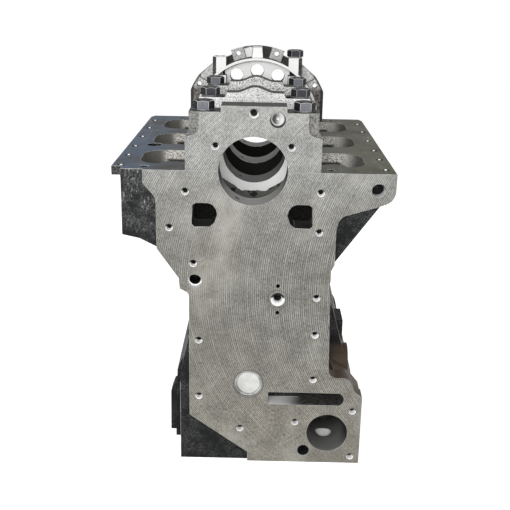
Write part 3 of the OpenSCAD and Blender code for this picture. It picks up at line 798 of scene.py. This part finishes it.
def paint(faces, slots, choose):
    """Gives each face the material that choose(centre in mm, normal) names."""
    for face in faces:
        face.material_index = slots.index(choose(face.calc_center_median() / MM, face.normal))


def attach(piece, slot, *nodes):
    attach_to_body(piece, "root")
    if nodes:
        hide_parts(*nodes)
    return piece


def near(x, z, axis, radius):
    return math.hypot(x - axis[0], z - axis[1]) < radius


def within(value, limits):
    return limits[0] < value < limits[1]


def in_bore(c, n):
    """True on the wall of the bearing bore. c is a face's centre in millimetres, n its normal."""
    return abs(n.y) < 0.5 and near(c.x, c.z, (0, 0), MAIN_BORE_R)


def joint_edge(edge):
    """True on the line where the front cap meets the block, which hardly shows."""
    return all(abs(v.co.z) < 0.0002 and v.co.y < 0.001 and abs(v.co.x) < 0.0726 for v in edge.verts)


def visible_break(edge, thread):
    """False for the joint's line and for the edges of a bright hole, which stay sharp."""
    return not joint_edge(edge) and all(f.material_index != thread for f in edge.link_faces)


# The block


BLOCK_SLOTS = [
    "raw_iron", "milled_iron", "ground_iron", "sump_face", "bay_iron", "bored_iron", "bright_thread",
    "worn_edge", "web_face", "bright_hole", "slot_wall",
]


def in_bay(c):
    for i in range(3):
        half0 = (END_WEB if i == 0 else MID_WEB) / 2
        half1 = (END_WEB if i == 2 else MID_WEB) / 2
        if MAIN_Y[i] + half0 - 0.3 < c.y < MAIN_Y[i + 1] - half1 + 0.3:
            return within(c.x, BAY_X) and within(c.z, BAY_Z)
    return False


def in_window(c):
    return c.y < FRONT_WEB_BACK and within(abs(c.x), WINDOW_X) and within(c.z, WINDOW_Z)


def in_front_hole(c):
    """True in the threaded holes of the front face, the idler's hole and the ear's."""
    if c.y < TAPPED_DEPTH and any(near(c.x, c.z, hole, TAPPED_R) for hole in FRONT_HOLES):
        return True
    wide = near(c.x, c.z, IDLER_AXIS, IDLER_R) or near(c.x, c.z, EAR_HOLE, EAR_R)
    return c.y < IDLER_DEPTH and wide


def block_finish(c, n):
    """The finish of a face of the casting, by its centre in millimetres and its normal."""
    if n.y < -SQUARE and c.y < FRONT_SKIN:
        return "milled_iron"
    if in_bore(c, n) or (abs(n.y) < 0.5 and near(c.x, c.z, CAM_AXIS, CAM_TUNNEL_R)):
        return "bored_iron"
    if n.z > SQUARE and c.z > -0.5:
        return "sump_face"
    if (n.z < -SQUARE and c.z < DECK_Z + 0.5) or (n.y > SQUARE and c.y > BLOCK_LENGTH - 0.5):
        return "ground_iron"
    if c.y < GALLERY_MOUTH and near(c.x, c.z, GALLERY_AXIS, GALLERY_R):
        return "bright_thread"
    # Steps that face the front, a little behind it
    if n.y < -0.6 and 5 < c.y < 30 and c.z < -10:
        return "raw_iron"
    if in_front_hole(c):
        return "bright_thread"
    if c.y < FOLLOWER_DEPTH and c.z < CAM_AXIS[1] and near(c.x, c.y, FOLLOWER, FOLLOWER_R):
        return "bright_hole"
    if c.y < SLOT_DEPTH and within(c.x, SLOT_X) and within(c.z, SLOT_Z):
        return "slot_wall" if c.y < SLOT_FRONT and n.z > -0.5 else "raw_iron"
    if c.z > SUMP_HOLE_LOW and any(near(abs(c.x), c.y, (SUMP_HOLE_X, y), TAPPED_R) for y in SUMP_HOLES_Y):
        return "bright_thread"
    if c.z > DIPSTICK_LOW and near(c.x, c.y, DIPSTICK, DIPSTICK_R):
        return "raw_iron"
    if in_bay(c) or in_window(c):
        return "web_face" if abs(n.y) > SQUARE or c.y < FRONT_WEB_BACK else "bay_iron"
    if abs(c.x) > PAD_X and abs(n.x) > SQUARE and c.z < PAD_TOP:
        return "ground_iron"
    return "raw_iron"


def build_block():
    bm = solid_copy("engine_block")
    paint(bm.faces, BLOCK_SLOTS, block_finish)
    thread, worn = BLOCK_SLOTS.index("bright_thread"), BLOCK_SLOTS.index("worn_edge")
    rough = {BLOCK_SLOTS.index(slot) for slot in ("raw_iron", "bay_iron", "web_face")}
    edges = [e for e in sharp_edges(bm) if visible_break(e, thread)]
    for face in break_edges(bm, edges, sizes().edge_break):
        around = {f.material_index for e in face.edges for f in e.link_faces if f is not face}
        if face.material_index in rough and around <= rough:
            continue
        if face.material_index != thread:
            face.material_index = worn
    return attach(publish(bm, "block_casting", BLOCK_SLOTS), "block", "engine_block")


# The bearing caps


CAP_SLOTS = [
    "cap_side", "milled_iron", "cap_top", "bored_iron", "bright_thread", "worn_edge", "rear_cap",
    "rear_cap_side", "cap_front", "third_front", "flange_iron", "lug_iron", "dimple_iron",
]


def front_cap_finish(c, n):
    if n.y < -FACING and c.y < FRONT_SKIN:
        return "milled_iron"
    if in_bore(c, n):
        return "bored_iron"
    if c.y < CAP_HOLE_DEPTH and any(near(c.x, c.z, hole, CAP_HOLE_R) for hole in CAP_HOLES):
        return "bright_thread"
    if c.y < DIMPLE_DEPTH and near(c.x, c.z, DIMPLE_AXIS, DIMPLE_R):
        return "dimple_iron"
    # Tops are painted dark, and the other faces darker than the fronts, as painted shade
    return "cap_top" if n.z > FACING else "cap_side"


def middle_cap_finish(c, n):
    if in_bore(c, n):
        return "bored_iron"
    along = min(abs(c.y - y + LEDGE_BACK) for y in MAIN_Y[1:3])
    on_ledge = c.z < LEDGE_TOP and abs(c.x) < LEDGE_X and along < LEDGE_HALF
    # Faces toward the front are painted light and the tops and sides dark, as painted light and shade
    if n.y < -0.5 or on_ledge:
        return "cap_front" if c.y < MAIN_Y[2] - 20 else "third_front"
    return "cap_top" if n.z > 0.8 else "cap_side"


def rear_cap_finish(c, n):
    if in_bore(c, n):
        return "bored_iron"
    ahead = n.y < -FACING
    if ahead and c.y > FLANGE_FACE_Y and math.hypot(c.x, c.z) > FLANGE_INNER_R:
        return "flange_iron"
    if ahead and within(c.y, LUG_FACE_Y):
        around = math.degrees(math.atan2(c.x, c.z))
        return "flange_iron" if abs(around) > LUG_ANGLE else "lug_iron"
    # Faces toward the front and the seat tops are painted near white, partly as painted light; the other
    # faces dark as painted shade
    if ahead or (n.z > 0.8 and c.z > REAR_SEAT_Z - 1 and abs(c.x) < REAR_CAP_X):
        return "rear_cap"
    return "rear_cap_side"


BOLT_SPOT_R = 9.9


def near_bolt(edge):
    middle = (edge.verts[0].co + edge.verts[1].co) / 2 / MM
    return any(near(abs(middle.x), middle.y, (BOLT_X, y), BOLT_SPOT_R) for y in MAIN_Y)


def build_cap(node, name, choose, slot, rounding):
    """A cap from its CAD solid: small broken edges where machined, rounder ones on the raw casting."""
    bm = solid_copy(node)
    paint(bm.faces, CAP_SLOTS, choose)
    plain = {CAP_SLOTS.index(slot) for slot in ("cap_side", "cap_top", "cap_front", "third_front")}
    thread, worn = CAP_SLOTS.index("bright_thread"), CAP_SLOTS.index("worn_edge")
    milled = CAP_SLOTS.index("milled_iron")

    def is_raw(edge):
        if edge.calc_length() < 0.0015 or any(v.co.z < 0.001 for v in edge.verts):
            return False
        return all(f.material_index in plain for f in edge.link_faces) and not near_bolt(edge)

    raw, fine = [], []
    for edge in sharp_edges(bm):
        (raw if rounding and is_raw(edge) else fine).append(edge)
    fine = [e for e in fine if visible_break(e, thread)]
    if raw:
        rounded = break_edges(bm, raw, rounding, 3)
        bm.normal_update()
        paint(rounded, CAP_SLOTS, choose)
        fine = [e for e in fine if e.is_valid]
    for face in break_edges(bm, fine, sizes().edge_break * 0.8):
        if any(f.material_index == milled for e in face.edges for f in e.link_faces):
            face.material_index = worn
    return attach(publish(bm, name, CAP_SLOTS), slot, node)


# Geometry Nodes


class GrowingNodes(Nodes):
    """The nodes of a new Geometry Nodes tree that grows a part at each point of a mesh."""

    def __init__(self, name, numbers):
        super().__init__(bpy.data.node_groups.new(name, "GeometryNodeTree"))
        self.open("Geometry", "Geometry")
        for label, default in numbers.items():
            self.open(label, "Float").default_value = default
        self.open("Material", "Material")
        self.open("Geometry", "Geometry", "OUTPUT")
        self.given = self.tree.nodes.new("NodeGroupInput").outputs
        self.points = self.add("GeometryNodeMeshToPoints", {"Mesh": self.given["Geometry"]}).outputs[0]

    def open(self, label, kind, side="INPUT"):
        return self.tree.interface.new_socket(label, in_out=side, socket_type="NodeSocket" + kind)

    def named(self, name, kind="FLOAT"):
        return self.add("GeometryNodeInputNamedAttribute", {"Name": name}, data_type=kind).outputs[0]

    def moved(self, geometry, z):
        inputs = {"Geometry": geometry, "Translation": self.vector(z=z)}
        return self.add("GeometryNodeTransform", inputs).outputs[0]

    def cylinder(self, vertices, radius, depth, z):
        """A closed cylinder that stands on height z."""
        inputs = {"Vertices": vertices, "Radius": radius, "Depth": depth}
        made = self.add("GeometryNodeMeshCylinder", inputs, fill_type="NGON").outputs["Mesh"]
        return self.moved(made, self.fuse(depth, 0.5, z))

    def join(self, *parts):
        node = self.add("GeometryNodeJoinGeometry")
        for part in parts:
            self.feed(node.inputs[0], part)
        return node.outputs[0]

    def at_points(self, part, **inputs):
        """The part at each point, with its rotation or scale."""
        inputs = {"Points": self.points, "Instance": part, **{key.title(): v for key, v in inputs.items()}}
        return self.add("GeometryNodeInstanceOnPoints", inputs).outputs[0]

    def close(self, geometry):
        """Ends the tree in plain geometry with the given material."""
        real = self.add("GeometryNodeRealizeInstances", {"Geometry": geometry}).outputs[0]
        inputs = {"Geometry": real, "Material": self.given["Material"]}
        painted = self.add("GeometryNodeSetMaterial", inputs).outputs[0]
        self.feed(self.tree.nodes.new("NodeGroupOutput").inputs["Geometry"], painted)
        return self.tree


def bolt_tree():
    """A hexagon head with turned corners, a washer face and a shank, at each point of the mesh."""
    numbers = {"Across Flats": 0.02, "Head Height": 0.0105, "Washer Face": 0.0009, "Shank": 0.014}
    t = GrowingNodes("Cap Bolts", numbers)
    flats, height, washer = (t.given[label] for label in ("Across Flats", "Head Height", "Washer Face"))
    corner = t.times(flats, 0.5 / math.cos(math.pi / 6))
    hexagon = t.cylinder(6, corner, t.less(height, washer), washer)
    # The turned cone takes the corners off the top of the hexagon
    turned = {
        "Vertices": 72, "Radius Top": t.times(flats, 0.47), "Radius Bottom": t.times(flats, 1.28),
        "Depth": t.times(height, 0.9),
    }
    cone = t.add("GeometryNodeMeshCone", turned, fill_type="NGON").outputs["Mesh"]
    cone = t.moved(cone, t.times(height, 0.1))
    head = t.add("GeometryNodeMeshBoolean", operation="INTERSECT", solver="EXACT")
    t.feed(head.inputs["Mesh 2"], hexagon)
    t.feed(head.inputs["Mesh 2"], cone)
    face = t.cylinder(48, t.times(flats, 0.485), t.plus(washer, 0.0002), 0.0)
    heads = t.at_points(t.join(head.outputs["Mesh"], face), rotation=t.vector(z=t.named("turn")))
    shank = t.cylinder(48, t.times(t.given["Shank"], 0.5), 1.0, -1.0)
    shanks = t.at_points(shank, scale=t.vector(1.0, 1.0, t.named("reach")))
    return t.close(t.join(heads, shanks))


def thread_tree():
    """A helical ridge inside each tapped hole, sized by the hole's radius."""
    t = GrowingNodes("Tapped Threads", {"Turns": 7.0, "Pitch Share": 0.36, "Ridge Share": 0.11})
    wound = {
        "Resolution": 20, "Rotations": t.given["Turns"], "Start Radius": 0.96, "End Radius": 0.96,
        "Height": t.times(t.given["Turns"], t.given["Pitch Share"]),
    }
    helix = t.add("GeometryNodeCurveSpiral", wound).outputs[0]
    ridge = t.add("GeometryNodeCurvePrimitiveCircle", {"Resolution": 4, "Radius": t.given["Ridge Share"]})
    swept = {"Curve": helix, "Profile Curve": ridge.outputs[0], "Fill Caps": True}
    thread = t.add("GeometryNodeCurveToMesh", swept).outputs[0]
    aim = t.add("FunctionNodeAlignRotationToVector", {"Vector": t.named("into", "FLOAT_VECTOR")}, axis="Z")
    size = t.named("bore")
    return t.close(t.at_points(thread, rotation=aim.outputs[0], scale=t.vector(size, size, size)))


def grow(name, tree, points, numbers, inputs):
    """Runs the tree on the points, whose numbers are stored as attributes, and keeps the plain mesh."""
    mesh = bpy.data.meshes.new(name + "_points")
    mesh.from_pydata([Vector(p) * MM for p in points], [], [])
    for label, values in numbers.items():
        if isinstance(values[0], (float, int)):
            mesh.attributes.new(label, "FLOAT", "POINT").data.foreach_set("value", values)
        else:
            flat = [v for row in values for v in row]
            mesh.attributes.new(label, "FLOAT_VECTOR", "POINT").data.foreach_set("vector", flat)
    carrier = link(name + "_points", mesh)
    modifier = carrier.modifiers.new(name, "NODES")
    modifier.node_group = tree
    for item in tree.interface.items_tree:
        if item.in_out == "INPUT" and item.name in inputs:
            modifier[item.identifier] = inputs[item.name]
    evaluated = carrier.evaluated_get(bpy.context.evaluated_depsgraph_get())
    result = bpy.data.meshes.new_from_object(evaluated)
    carrier.modifiers.remove(modifier)
    bpy.data.objects.remove(carrier)
    result.name = name
    return link(name, result)


# Bolts: node, number of the cap, side, and degrees that the head is turned
BOLTS = [
    ("front_cap_bolt_left", 0, -1, 0), ("front_cap_bolt_right", 0, 1, 3),
    ("second_cap_bolt_left", 1, -1, 8), ("second_cap_bolt_right", 1, 1, 4),
    ("third_cap_bolt_left", 2, -1, 2), ("third_cap_bolt_right", 2, 1, 5),
    ("rear_cap_bolt_right", 3, 1, 2),
]


def build_bolts():
    s = sizes()
    points, turns, reach = [], [], []
    for _, i, side, turn in BOLTS:
        seat = REAR_SEAT_Z if i == 3 else CAP_SEAT_Z
        points.append((side * BOLT_X, MAIN_Y[i], seat))
        turns.append(math.radians(turn))
        reach.append(seat * MM + s.bolt_reach)
    inputs = {
        "Across Flats": s.head_flats, "Head Height": s.head_height, "Washer Face": s.washer_height,
        "Shank": s.shank, "Material": finish("black_oxide"),
    }
    piece = grow("cap_bolts", bolt_tree(), points, {"turn": turns, "reach": reach}, inputs)
    bm = bmesh.new()
    bm.from_mesh(piece.data)
    break_edges(bm, sharp_edges(bm, 40), 0.00018)
    smooth(bm)
    bm.to_mesh(piece.data)
    bm.free()
    return attach(settle_normals(piece), "black_bolt", *[node for node, _, _, _ in BOLTS])


def tapped_holes():
    """Every tapped hole as (mouth, direction in, radius), in millimetres."""
    back, ahead, up, down = (0, 1, 0), (0, -1, 0), (0, 0, 1), (0, 0, -1)
    right, left = (1, 0, 0), (-1, 0, 0)
    both = (-1, 1)
    holes = [((x, 0, z), back, SMALL_TAP) for x, z in FRONT_HOLES]
    holes += [((x, 0, z), back, SMALL_TAP if z < 50 else MIDDLE_TAP) for x, z in CAP_HOLES]
    holes.append(((IDLER_AXIS[0], 3, IDLER_AXIS[1]), back, 5.0))
    holes += [((s * SUMP_HOLE_X, y, 0), down, SMALL_TAP) for s in both for y in SUMP_HOLES_Y]
    holes += [((-118, 17, 0), down, MIDDLE_TAP), ((84, 15, 0), down, SMALL_TAP)]
    holes += [((s * 108, BLOCK_LENGTH - 14, 0), down, SMALL_TAP) for s in both]
    # The front right stud hole runs into the camshaft drain, so it is left plain
    studs = [(s * STUD_X, y) for s in both for y in MAIN_Y if (s, y) != (1, MAIN_Y[0])]
    holes += [((x, y, DECK_Z), up, LARGE_TAP) for x, y in studs]
    holes += [((s * x, BLOCK_LENGTH, z), ahead, LARGE_TAP) for s in both for x, z in REAR_HOLES]
    for angle in map(math.radians, FLANGE_ANGLES):
        x, z = FLANGE_BOLT_R * math.sin(angle), -FLANGE_BOLT_R * math.cos(angle)
        holes += [((s * x, BLOCK_LENGTH, z), ahead, 3.5) for s in both]
    holes += [((-96.5, y, z), right, MIDDLE_TAP) for y in LEFT_PADS_Y for z in (-330, -294)]
    holes += [((133, CYLINDER_Y[1] + dy, -322), left, SMALL_TAP) for dy in (-28, 28)]
    for y in MOUNTING_Y:
        holes += [((-148, y, -40), right, 6.0), ((148, y, -30), left, 6.0)]
    return holes


def build_threads():
    holes = tapped_holes()
    # Each helix starts a little below its mouth, under the chamfer
    points = [Vector(mouth) + Vector(into) * (0.8 + 0.35 * bore) for mouth, into, bore in holes]
    numbers = {"into": [into for _, into, _ in holes], "bore": [bore * MM for _, _, bore in holes]}
    inputs = {"Turns": float(sizes().thread_turns), "Material": finish("bright_thread")}
    return attach(grow("tapped_threads", thread_tree(), points, numbers, inputs), "block")


# Core plugs: node, centre, direction out, radius and depth, in millimetres
PLUGS = [
    ("front_core_plug", (PLUG_AXIS[0], 0, PLUG_AXIS[1]), (0, -1, 0), 16.0, 6.0),
    ("rear_core_plug", (0, BLOCK_LENGTH, -235), (0, 1, 0), 24.0, 9.0),
    ("left_core_plug_middle", (-91, CYLINDER_Y[1], -296), (-1, 0, 0), 18.0, 9.0),
    ("left_core_plug_rear", (-91, CYLINDER_Y[2], -296), (-1, 0, 0), 18.0, 9.0),
    ("right_core_plug_front", (118, CYLINDER_Y[0], -250), (1, 0, 0), 18.0, 9.0),
    ("right_core_plug_middle", (118, CYLINDER_Y[1], -250), (1, 0, 0), 18.0, 9.0),
]
PLUG_WALL = 2.2
PLUG_CORNER = 1.6
PLUG_RIM = 3.4


def lathe(bm, profile, centre, axis, steps=64):
    """Turns a profile of (radius, height) points about an axis through the centre, all in metres."""
    turn = Vector((0, 0, 1)).rotation_difference(Vector(axis)).to_matrix()
    rings = []
    for radius, height in profile:
        around = range(steps) if radius > 1e-7 else range(1)
        angles = [math.tau * k / steps for k in around]
        spots = [Vector((radius * math.cos(a), radius * math.sin(a), height)) for a in angles]
        rings.append([bm.verts.new(Vector(centre) + turn @ spot) for spot in spots])
    for low, high in zip(rings, rings[1:]):
        for k in range(steps):
            pairs = ((low, k), (low, k + 1), (high, k + 1), (high, k))
            corners = list(dict.fromkeys(ring[i % len(ring)] for ring, i in pairs))
            if len(corners) > 2:
                bm.faces.new(corners)


def cup_profile(radius, depth):
    """A pressed cup: rolled rim, straight wall, rounded corner and a slightly domed floor."""
    profile = [(0.0, -depth), (radius - 1.5, -depth), (radius - 0.4, -depth + 0.5), (radius, -depth + 1.6)]
    profile += [(radius, -1.4), (radius - 0.3, -1.08), (radius - 0.8, -1.0), (radius - 1.3, -1.08)]
    inner, floor = radius - PLUG_WALL, -depth + PLUG_WALL
    profile.append((inner, -1.4))
    for k in range(5):
        a = math.pi / 2 * k / 4
        profile.append((inner - PLUG_CORNER * (1 - math.cos(a)), floor + 1.7 - PLUG_CORNER * math.sin(a)))
    for k in range(1, 9):
        share = 1 - k / 8
        profile.append(((inner - PLUG_CORNER) * share, floor + 0.1 + 1.1 * (1 - share * share)))
    return [(r * MM, h * MM) for r, h in profile]


def build_plugs():
    for name, centre, axis, radius, depth in PLUGS:
        bm = bmesh.new()
        middle, out = Vector(centre) * MM, Vector(axis)
        lathe(bm, cup_profile(radius, depth), middle, axis)
        for face in bm.faces:
            away = face.calc_center_median() - middle
            face.material_index = int((away - out * away.dot(out)).length > (radius - PLUG_RIM) * MM)
        piece = publish(bm, name.replace("core_plug", "cup_plug"), ["pressed_steel", "worn_edge"], 50)
        attach(piece, "core_plug", name)


CARRIED = {
    "main_cap_ring_dowels": "dowel_steel",
    "front_cylinder_liner": "honed_liner",
    "middle_cylinder_liner": "honed_liner",
    "rear_cylinder_liner": "honed_liner",
    "oil_gallery_plug": "plug_black",
}


def paint_carried():
    for node, name in CARRIED.items():
        CAD[node].data.materials.clear()
        CAD[node].data.materials.append(finish(name))


# Stage


FLOOR_REACH = 40.0
# Brightness that the floor adds for rays that see it directly, so that it shows white
FLOOR_GLOW = 0.76
PHOTO_PIXELS = 510
FOCAL_PIXELS = 852.463
SENSOR = 36.0
CAMERA_PLACE = (0.009107, -0.886959, 0.196093)
CAMERA_PITCH, CAMERA_YAW, CAMERA_ROLL = (math.radians(a) for a in (18.045, -0.34, -1.108))


def seen_directly(t):
    """1 for camera, glossy and transmission rays, so that metal shows the same white surroundings."""
    path = t.add("ShaderNodeLightPath").outputs
    seen = t.larger(path["Is Camera Ray"], path["Is Glossy Ray"])
    return t.larger(seen, path["Is Transmission Ray"])


def build_floor():
    tint = bpy.context.scene.stage_settings.floor
    mesh = bpy.data.meshes.new("floor")
    r, low = FLOOR_REACH, DECK_Z * MM
    mesh.from_pydata([(-r, -r, low), (r, -r, low), (r, r, low), (-r, r, low)], [], [(0, 1, 2, 3)])
    floor = link("floor", mesh)
    t = MaterialNodes("floor")
    t.feed(t.shader.inputs["Base Color"], t.coat(tint, t.noise(40.0), shade(tint, 0.9), 0.1))
    t.shader.inputs["Roughness"].default_value = 0.9
    t.shader.inputs["Specular IOR Level"].default_value = 0.0
    glow = t.add("ShaderNodeEmission", {"Strength": t.times(seen_directly(t), FLOOR_GLOW)})
    both = t.add("ShaderNodeAddShader", {0: t.shader.outputs[0], 1: glow.outputs[0]})
    t.feed(t.tree.nodes["Material Output"].inputs["Surface"], both.outputs[0])
    mesh.materials.append(t.made)


def build_world():
    world = bpy.data.worlds.new("studio")
    bpy.context.scene.world = world
    world.use_nodes = True
    t = Nodes(world.node_tree)
    fill = bpy.context.scene.stage_settings.fill
    background = world.node_tree.nodes["Background"].inputs
    background["Color"].default_value = (1, 1, 1, 1)
    t.feed(background["Strength"], t.fuse(seen_directly(t), 1.0 - fill, fill))


def add_lamp(name, place, target, size, energy):
    data = bpy.data.lights.new(name, "AREA")
    data.shape = "RECTANGLE"
    data.size, data.size_y = size
    data.energy = energy
    lamp = link(name, data)
    lamp.location = place
    lamp.rotation_euler = (Vector(target) - Vector(place)).to_track_quat("-Z", "Y").to_euler()


def build_camera():
    """The camera of the photograph: a little above the block, in front of it."""
    level = math.cos(CAMERA_PITCH)
    forward = Vector((math.sin(CAMERA_YAW) * level, math.cos(CAMERA_YAW) * level, -math.sin(CAMERA_PITCH)))
    right = Vector((math.cos(CAMERA_YAW), -math.sin(CAMERA_YAW), 0))
    down = forward.cross(right)
    across = right * math.cos(CAMERA_ROLL) + down * math.sin(CAMERA_ROLL)
    up = right * math.sin(CAMERA_ROLL) - down * math.cos(CAMERA_ROLL)
    data = bpy.data.cameras.new("camera")
    data.sensor_width = SENSOR
    data.lens = FOCAL_PIXELS / PHOTO_PIXELS * SENSOR
    data.clip_start, data.clip_end = 0.05, 200.0
    camera = link("camera", data)
    matrix = Matrix((across, up, -forward)).transposed().to_4x4()
    matrix.translation = Vector(CAMERA_PLACE)
    camera.matrix_world = matrix
    bpy.context.scene.camera = camera


def build_stage():
    s = bpy.context.scene.stage_settings
    build_world()
    build_floor()
    add_lamp("key_lamp", (-0.35, -1.45, 0.42), (0, 0.1, -0.1), (1.2, 0.7), s.key_power)
    add_lamp("front_lamp", (-0.05, -1.15, 0.30), (0, 0.1, -0.06), (0.35, 0.25), s.front_power)
    add_lamp("top_lamp", (0.1, 0.2, 1.3), (0, 0.15, 0), (1.6, 1.6), s.top_power)
    for side in (-1, 1):
        add_lamp("side_lamp", (1.4 * side, 0.5, 0.35), (0, 0.2, -0.1), (1.0, 1.0), s.side_power)
    build_camera()
    bpy.context.scene.view_settings.view_transform = "Standard"


# Operators


class BLOCK_OT_casting(bpy.types.Operator):
    """Build the cylinder block with its raw and machined faces"""

    bl_idname = "engine_block.casting"
    bl_label = "Block Casting"

    def execute(self, context):
        build_block()
        return {"FINISHED"}


class BLOCK_OT_caps(bpy.types.Operator):
    """Build the four main bearing caps"""

    bl_idname = "engine_block.caps"
    bl_label = "Main Bearing Caps"

    def execute(self, context):
        rounding = sizes().cast_round
        build_cap("front_main_cap", "front_cap", front_cap_finish, "front_cap", 0)
        build_cap("second_main_cap", "second_cap", middle_cap_finish, "cast_cap", rounding)
        build_cap("third_main_cap", "third_cap", middle_cap_finish, "cast_cap", rounding)
        build_cap("rear_main_cap", "rear_cap", rear_cap_finish, "rear_cap", 0)
        return {"FINISHED"}


class BLOCK_OT_bolts(bpy.types.Operator):
    """Grow the seven cap bolts"""

    bl_idname = "engine_block.bolts"
    bl_label = "Cap Bolts"

    def execute(self, context):
        build_bolts()
        return {"FINISHED"}


class BLOCK_OT_threads(bpy.types.Operator):
    """Grow a thread in every tapped hole"""

    bl_idname = "engine_block.threads"
    bl_label = "Tapped Threads"

    def execute(self, context):
        build_threads()
        return {"FINISHED"}


class BLOCK_OT_plugs(bpy.types.Operator):
    """Turn the six pressed core plugs"""

    bl_idname = "engine_block.plugs"
    bl_label = "Core Plugs"

    def execute(self, context):
        build_plugs()
        return {"FINISHED"}


class BLOCK_OT_carried(bpy.types.Operator):
    """Finish the parts that keep their CAD shape: liners, dowels and the gallery plug"""

    bl_idname = "engine_block.carried"
    bl_label = "Liners and Dowels"

    def execute(self, context):
        paint_carried()
        return {"FINISHED"}


class BLOCK_OT_stage(bpy.types.Operator):
    """Build the floor, the lamps and the camera"""

    bl_idname = "engine_block.stage"
    bl_label = "Stage"

    def execute(self, context):
        build_stage()
        return {"FINISHED"}


OPERATORS = [
    BLOCK_OT_casting, BLOCK_OT_caps, BLOCK_OT_bolts, BLOCK_OT_threads, BLOCK_OT_plugs, BLOCK_OT_carried,
    BLOCK_OT_stage,
]


class BLOCK_PT_panel(bpy.types.Panel):
    bl_label = "Engine Block"
    bl_idname = "BLOCK_PT_panel"
    bl_space_type = "VIEW_3D"
    bl_region_type = "UI"
    bl_category = "Engine Block"

    def draw(self, context):
        for group in (context.scene.block_sizes, context.scene.block_colours, context.scene.stage_settings):
            box = self.layout.box()
            for name in group.bl_rna.properties.keys():
                if name not in {"rna_type", "name"}:
                    box.prop(group, name)
        for operator in OPERATORS:
            self.layout.operator(operator.bl_idname)


CLASSES = [BlockSizes, BlockColours, StageSettings, *OPERATORS, BLOCK_PT_panel]
SETTINGS = {"block_sizes": BlockSizes, "block_colours": BlockColours, "stage_settings": StageSettings}


def register():
    for cls in CLASSES:
        bpy.utils.register_class(cls)
    for name, cls in SETTINGS.items():
        setattr(bpy.types.Scene, name, PointerProperty(type=cls))


def unregister():
    for name in SETTINGS:
        delattr(bpy.types.Scene, name)
    for cls in reversed(CLASSES):
        bpy.utils.unregister_class(cls)


def main():
    register()
    for name in ("casting", "caps", "bolts", "threads", "plugs", "carried", "stage"):
        getattr(bpy.ops.engine_block, name)()


if __name__ == "__main__":
    main()
